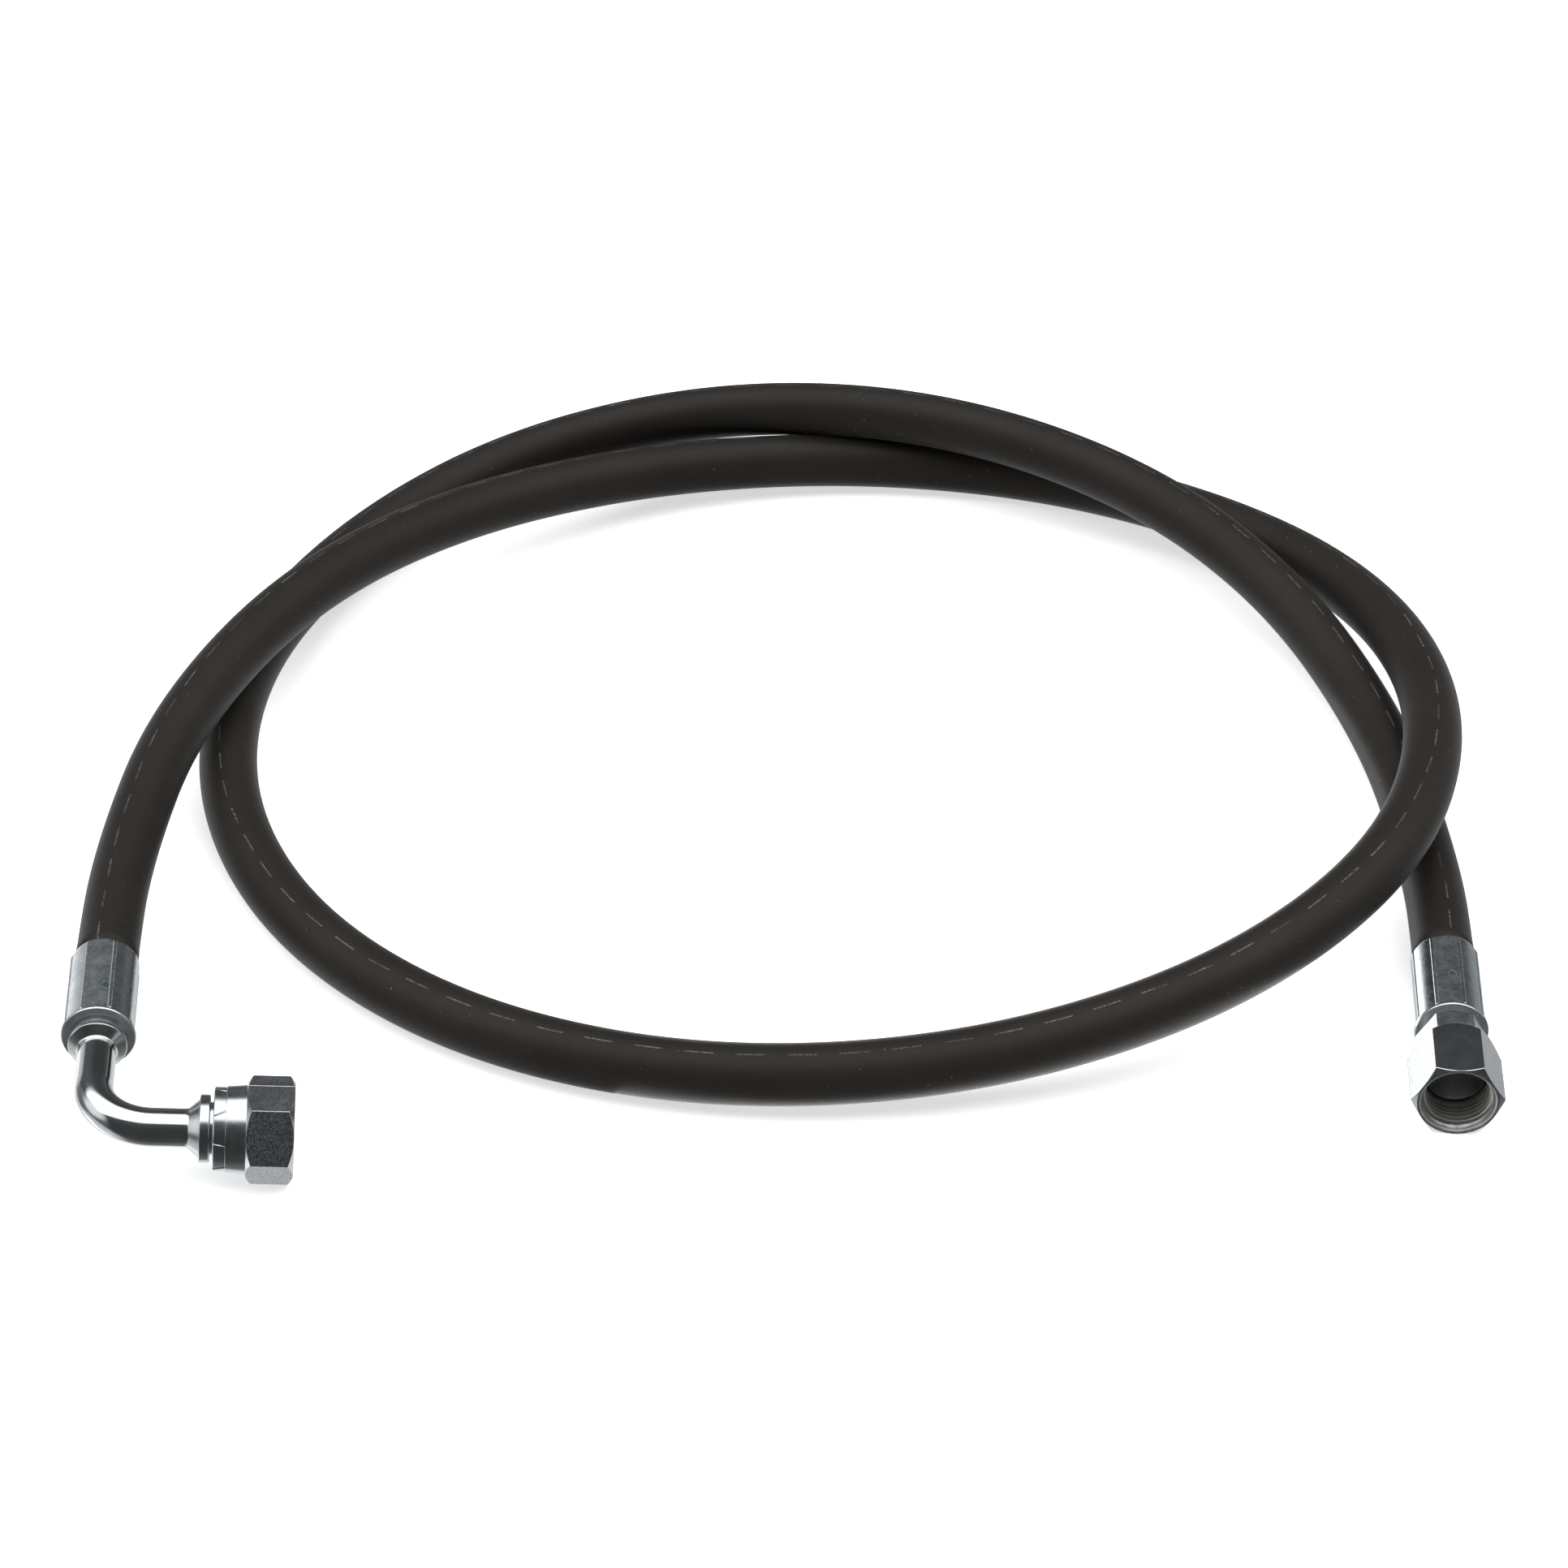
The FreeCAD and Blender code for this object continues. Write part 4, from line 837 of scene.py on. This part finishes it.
def elbow_nut_column(a):
    rh = hexagon_radius(a, BIG, BIG_ROUND)
    edge = BIG - 0.12
    off = abs(math.degrees(a) - MARK)
    rh += 0.04 * max(0.0, 1.0 - (off / 0.8) ** 2)
    face = 1 if off < 0.5 else 0
    band = [(band_radius(a, t), t, 1, 0) for t in BAND]
    return softened([
        (10.2, 42.9, 1), (10.0, 42.9, 1), (10.0, 36.0, 1), (7.4, 33.4, 1), (7.4, 32.4, 1, 0.15),
        (band[0][0] - 0.28, 32.4, 1, 0.10)] + band + [(11.40, 35.80, 1, 0.06),
        (11.825, 41.1, 1, 0.05), (edge, 41.1, 1, 0.10),
        (rh, 41.1 + (rh - edge) * 0.687, face, 0.14), (rh, 53.7 - (rh - edge) * 0.687, 1, 0.14),
        (edge, 53.7, 5, 0.10), (11.75, 53.7, 4, 0.10), (11.3, 53.2, 4, 0.10), (11.2, 51.8, 4),
    ], closed=False)


BAND = [32.70] + [32.85 + 0.27 * k for k in range(11)] + [35.66]
MARK = 346.2        # a fine raised line along the upper face, in the lighter turned zinc
seams = [math.radians(28.0 + 45 * k + d) % (2 * math.pi) for k in range(8)
         for d in [-7.4 + 0.62 * j for j in range(23)]]
seams += [math.radians(MARK + d) for d in (-1.1, -0.8, -0.55, -0.25, 0.0, 0.25, 0.55, 0.8, 1.1)]
elbow_nut = lathe(
    "elbow_nut_threaded", HEAD, hexagon_angles(BIG, BIG_ROUND, seams), elbow_nut_column,
    [mat_hex, mat_turned, mat_bore_painted_shade, mat_crest_painted_highlight, mat_mouth, mat_rim], "elbow_nut", ["elbow_swivel_nut"],
    thread=(42.9, 51.8, 1.814,
            thread_radius(10.2, 11.11, lambda t: 10.2 + (t - 51.0) / 0.8 * 1.0,
                          lambda t: (t - 42.9) / 1.5), 2, 3))

SMALL, SMALL_ROUND = 11.05, 0.35


def straight_nut_column(a):
    rh = hexagon_radius(a, SMALL, SMALL_ROUND)
    edge = SMALL - 0.12
    return softened([
        (8.725, 10.6, 2), (8.5, 10.6, 2), (8.5, 13.05, 2), (9.4, 13.05, 2), (9.4, 14.95, 2), (8.5, 14.95, 2),
        (8.5, 16.3, 2), (7.1, 17.7, 2), (7.1, 20.3, 1, 0.15), (edge, 20.3, 1, 0.12),
        (rh, 20.3 - (rh - edge) * 1.34, 0, 0.16), (rh, (rh - edge) * 0.757, 1, 0.16),
        (edge, 0.0, 5, 0.10), (10.4, 0.0, 4, 0.12), (9.95, 0.43, 4, 0.10), (9.6, 1.9, 4),
    ], closed=False)


straight_nut = lathe(
    "straight_nut_threaded", STRAIGHT @ Matrix.Rotation(math.radians(-2.0), 4, "Z"),
    hexagon_angles(SMALL, SMALL_ROUND), straight_nut_column,
    [mat_hex_b, mat_turned, mat_bore_painted_shade, mat_crest_painted_highlight, mat_mouth, mat_rim],
    "straight_nut", ["straight_swivel_nut"],
    thread=(1.9, 10.6, 1.5875,
            thread_radius(8.725, 9.525, lambda t: 9.6 - (t - 1.9) / 0.7 * 0.875,
                          lambda t: (10.6 - t) / 1.3), 2, 3))

# ------------------------------------------------------------ straight stem
STEM, STEM_ROUND = 8.75, 0.30


def stem_column(a):
    rh = hexagon_radius(a, STEM, STEM_ROUND)
    edge = STEM - 0.10
    return softened([
        (8.1, 11.0, 1, 0.06), (8.22, 11.0, 1, 0.06), (8.4, 11.2, 1, 0.06), (8.4, 13.2, 1), (7.55, 13.2, 1),
        (7.55, 14.8, 1), (8.4, 14.8, 1), (8.4, 16.0, 1), (6.8, 17.6, 1), (6.8, 20.9, 1), (edge, 20.9, 1, 0.08),
        (rh, 20.9 + (rh - edge) * 0.55, 0, 0.10), (rh, 27.2, 1, 0.10), (8.0, 27.2, 1), (8.0, 29.45, 1),
        (6.4, 29.45, 1), (6.4, 30.8, 1), (7.2, 30.8, 1), (7.2, 33.8, 1), (4.75, 33.8, 1)]
        + [(r, t, 1) for r, t in barbs(33.8)]
        + [(3.85, 59.4, 1), (3.2, 59.4, 1), (3.2, 17.502, 1)])


straight_stem = lathe("straight_stem_hexed", STRAIGHT, hexagon_angles(STEM, STEM_ROUND), stem_column,
                      [mat_milled, mat_turned], ROOT, ["straight_stem"])

[tuple(p) for p in points]

# ----------------------------------------------------------- floor, lights
floor_mesh = bpy.data.meshes.new("floor")
S = 6.0
floor_mesh.from_pydata([(-S, -S, 0), (S, -S, 0), (S, S, 0), (-S, S, 0)], [], [(0, 1, 2, 3)])
floor = bpy.data.objects.new("floor", floor_mesh)
bpy.context.scene.collection.objects.link(floor)
tf = Tree("floor_paper")
tf.bsdf.inputs["Base Color"].default_value = (0.92, 0.92, 0.92, 1.0)
tf.bsdf.inputs["Roughness"].default_value = 1.0
tf.bsdf.inputs["Specular IOR Level"].default_value = 0.0
tf.bsdf.inputs["Emission Color"].default_value = (1.0, 1.0, 1.0, 1.0)
tf.bsdf.inputs["Emission Strength"].default_value = 0.62
floor_mesh.materials.append(tf.mat)
floor.visible_glossy = False


class Sky(Tree):
    def __init__(self):
        world = bpy.data.worlds.new("studio")
        bpy.context.scene.world = world
        world.use_nodes = True
        self.nodes = world.node_tree.nodes
        self.links = world.node_tree.links
        self.nodes.clear()
        self.out = self.nodes.new("ShaderNodeOutputWorld")
        self.back = self.nodes.new("ShaderNodeBackground")
        self.links.new(self.back.outputs[0], self.out.inputs[0])


# A wide soft light overhead between dark surroundings, a brighter side to the
# left behind and a dim lower half; seen straight, the background is pale.
sky = Sky()
direction = sky.coords("Generated")
dx, dy, dz = sky.split(direction)
TOP = 2.4
angle = sky.math("FRACT", sky.math("ADD", sky.math("DIVIDE", sky.math("ARCTAN2", dz, dy), 2 * math.pi), 0.25))


def at(deg):
    return ((deg + 90.0) % 360.0) / 360.0


def level(v):
    return (v / TOP, v / TOP, v / TOP)


ring = sky.ramp(angle, [
    (at(-90), level(0.35)), (at(-81), level(1.15)), (at(-48), level(0.85)), (at(-25), level(0.55)),
    (at(-8), level(0.24)), (at(3), level(0.12)), (at(24), level(0.06)), (at(49), level(0.06)),
    (at(60), level(TOP)), (at(112), level(TOP)), (at(121), level(0.10)), (at(150), level(0.055)),
    (at(200), level(0.055)), (at(232), level(0.08)), (at(254), level(0.20)), (1.0, level(0.24))])
ring_level = sky.math("MULTIPLY", sky.split(ring)[0], TOP)
spread = sky.remap(sky.math("ABSOLUTE", dx), 0.78, 0.90, 1.0, 0.0, True)
side_level = sky.remap(dz, -0.2, 0.6, 0.16, 0.30)
base_level = sky.math("ADD", sky.math("MULTIPLY", ring_level, spread),
                      sky.math("MULTIPLY", side_level, sky.math("SUBTRACT", 1.0, spread)))


def glow(vector, inner, outer, strength):
    v = Vector(vector).normalized()
    d = sky.math("ADD", sky.math("ADD", sky.math("MULTIPLY", dx, v.x), sky.math("MULTIPLY", dy, v.y)),
                 sky.math("MULTIPLY", dz, v.z))
    return sky.math("MULTIPLY", sky.remap(d, math.cos(math.radians(outer)), math.cos(math.radians(inner)),
                                          0.0, 1.0, True), strength)


total_level = sky.math("ADD", base_level, glow((-0.55, 0.75, -0.36), 9, 17, 0.7))
total_level = sky.math("ADD", total_level, glow((-0.45, 0.85, 0.25), 10, 35, 0.06))
total_level = sky.math("ADD", total_level, glow((0.583, 0.809, -0.06), 4, 9, 0.5))
total_level = sky.math("ADD", total_level, glow((0.47, 0.75, -0.46), 8, 20, 0.25))
total_level = sky.math("ADD", total_level, glow((0.95, 0.10, 0.25), 12, 28, 0.5))
total_level = sky.math("ADD", total_level, glow((-0.95, -0.10, 0.25), 10, 26, 0.85))
total_level = sky.math("ADD", total_level, glow((-0.645, 0.755, -0.02), 8, 19, 0.55))
total_level = sky.math("ADD", total_level, glow((-0.77, -0.06, -0.64), 12, 30, 0.6))
grey = sky.node("ShaderNodeCombineXYZ")
for i in range(3):
    sky.put(grey.inputs[i], total_level)
tint = sky.nodes.new("ShaderNodeVectorMath")
tint.operation = "MULTIPLY"
sky.put(tint.inputs[0], grey.outputs[0])
tint.inputs[1].default_value = (0.985, 1.0, 1.02)
straight_ray = sky.nodes.new("ShaderNodeLightPath").outputs["Is Camera Ray"]
sky.put(sky.back.inputs[0], sky.mix(straight_ray, tint.outputs[0], (0.93, 0.93, 0.93, 1.0)))

# the lit floor inside the coil, as the straight fitting mirrors it
card_data = bpy.data.lights.new("floor_glint", "AREA")
card_data.shape = "RECTANGLE"
card_data.size, card_data.size_y = 0.20, 0.20
card_data.energy = 2.5 * math.pi * 0.20 * 0.20
card = bpy.data.objects.new("floor_glint", card_data)
card.location = (0.055, 0.085, 0.0015)
card.rotation_euler = (math.pi, 0.0, 0.0)
card.visible_camera = False
card.visible_diffuse = False
bpy.context.scene.collection.objects.link(card)

bpy.context.scene.view_settings.view_transform = "Standard"
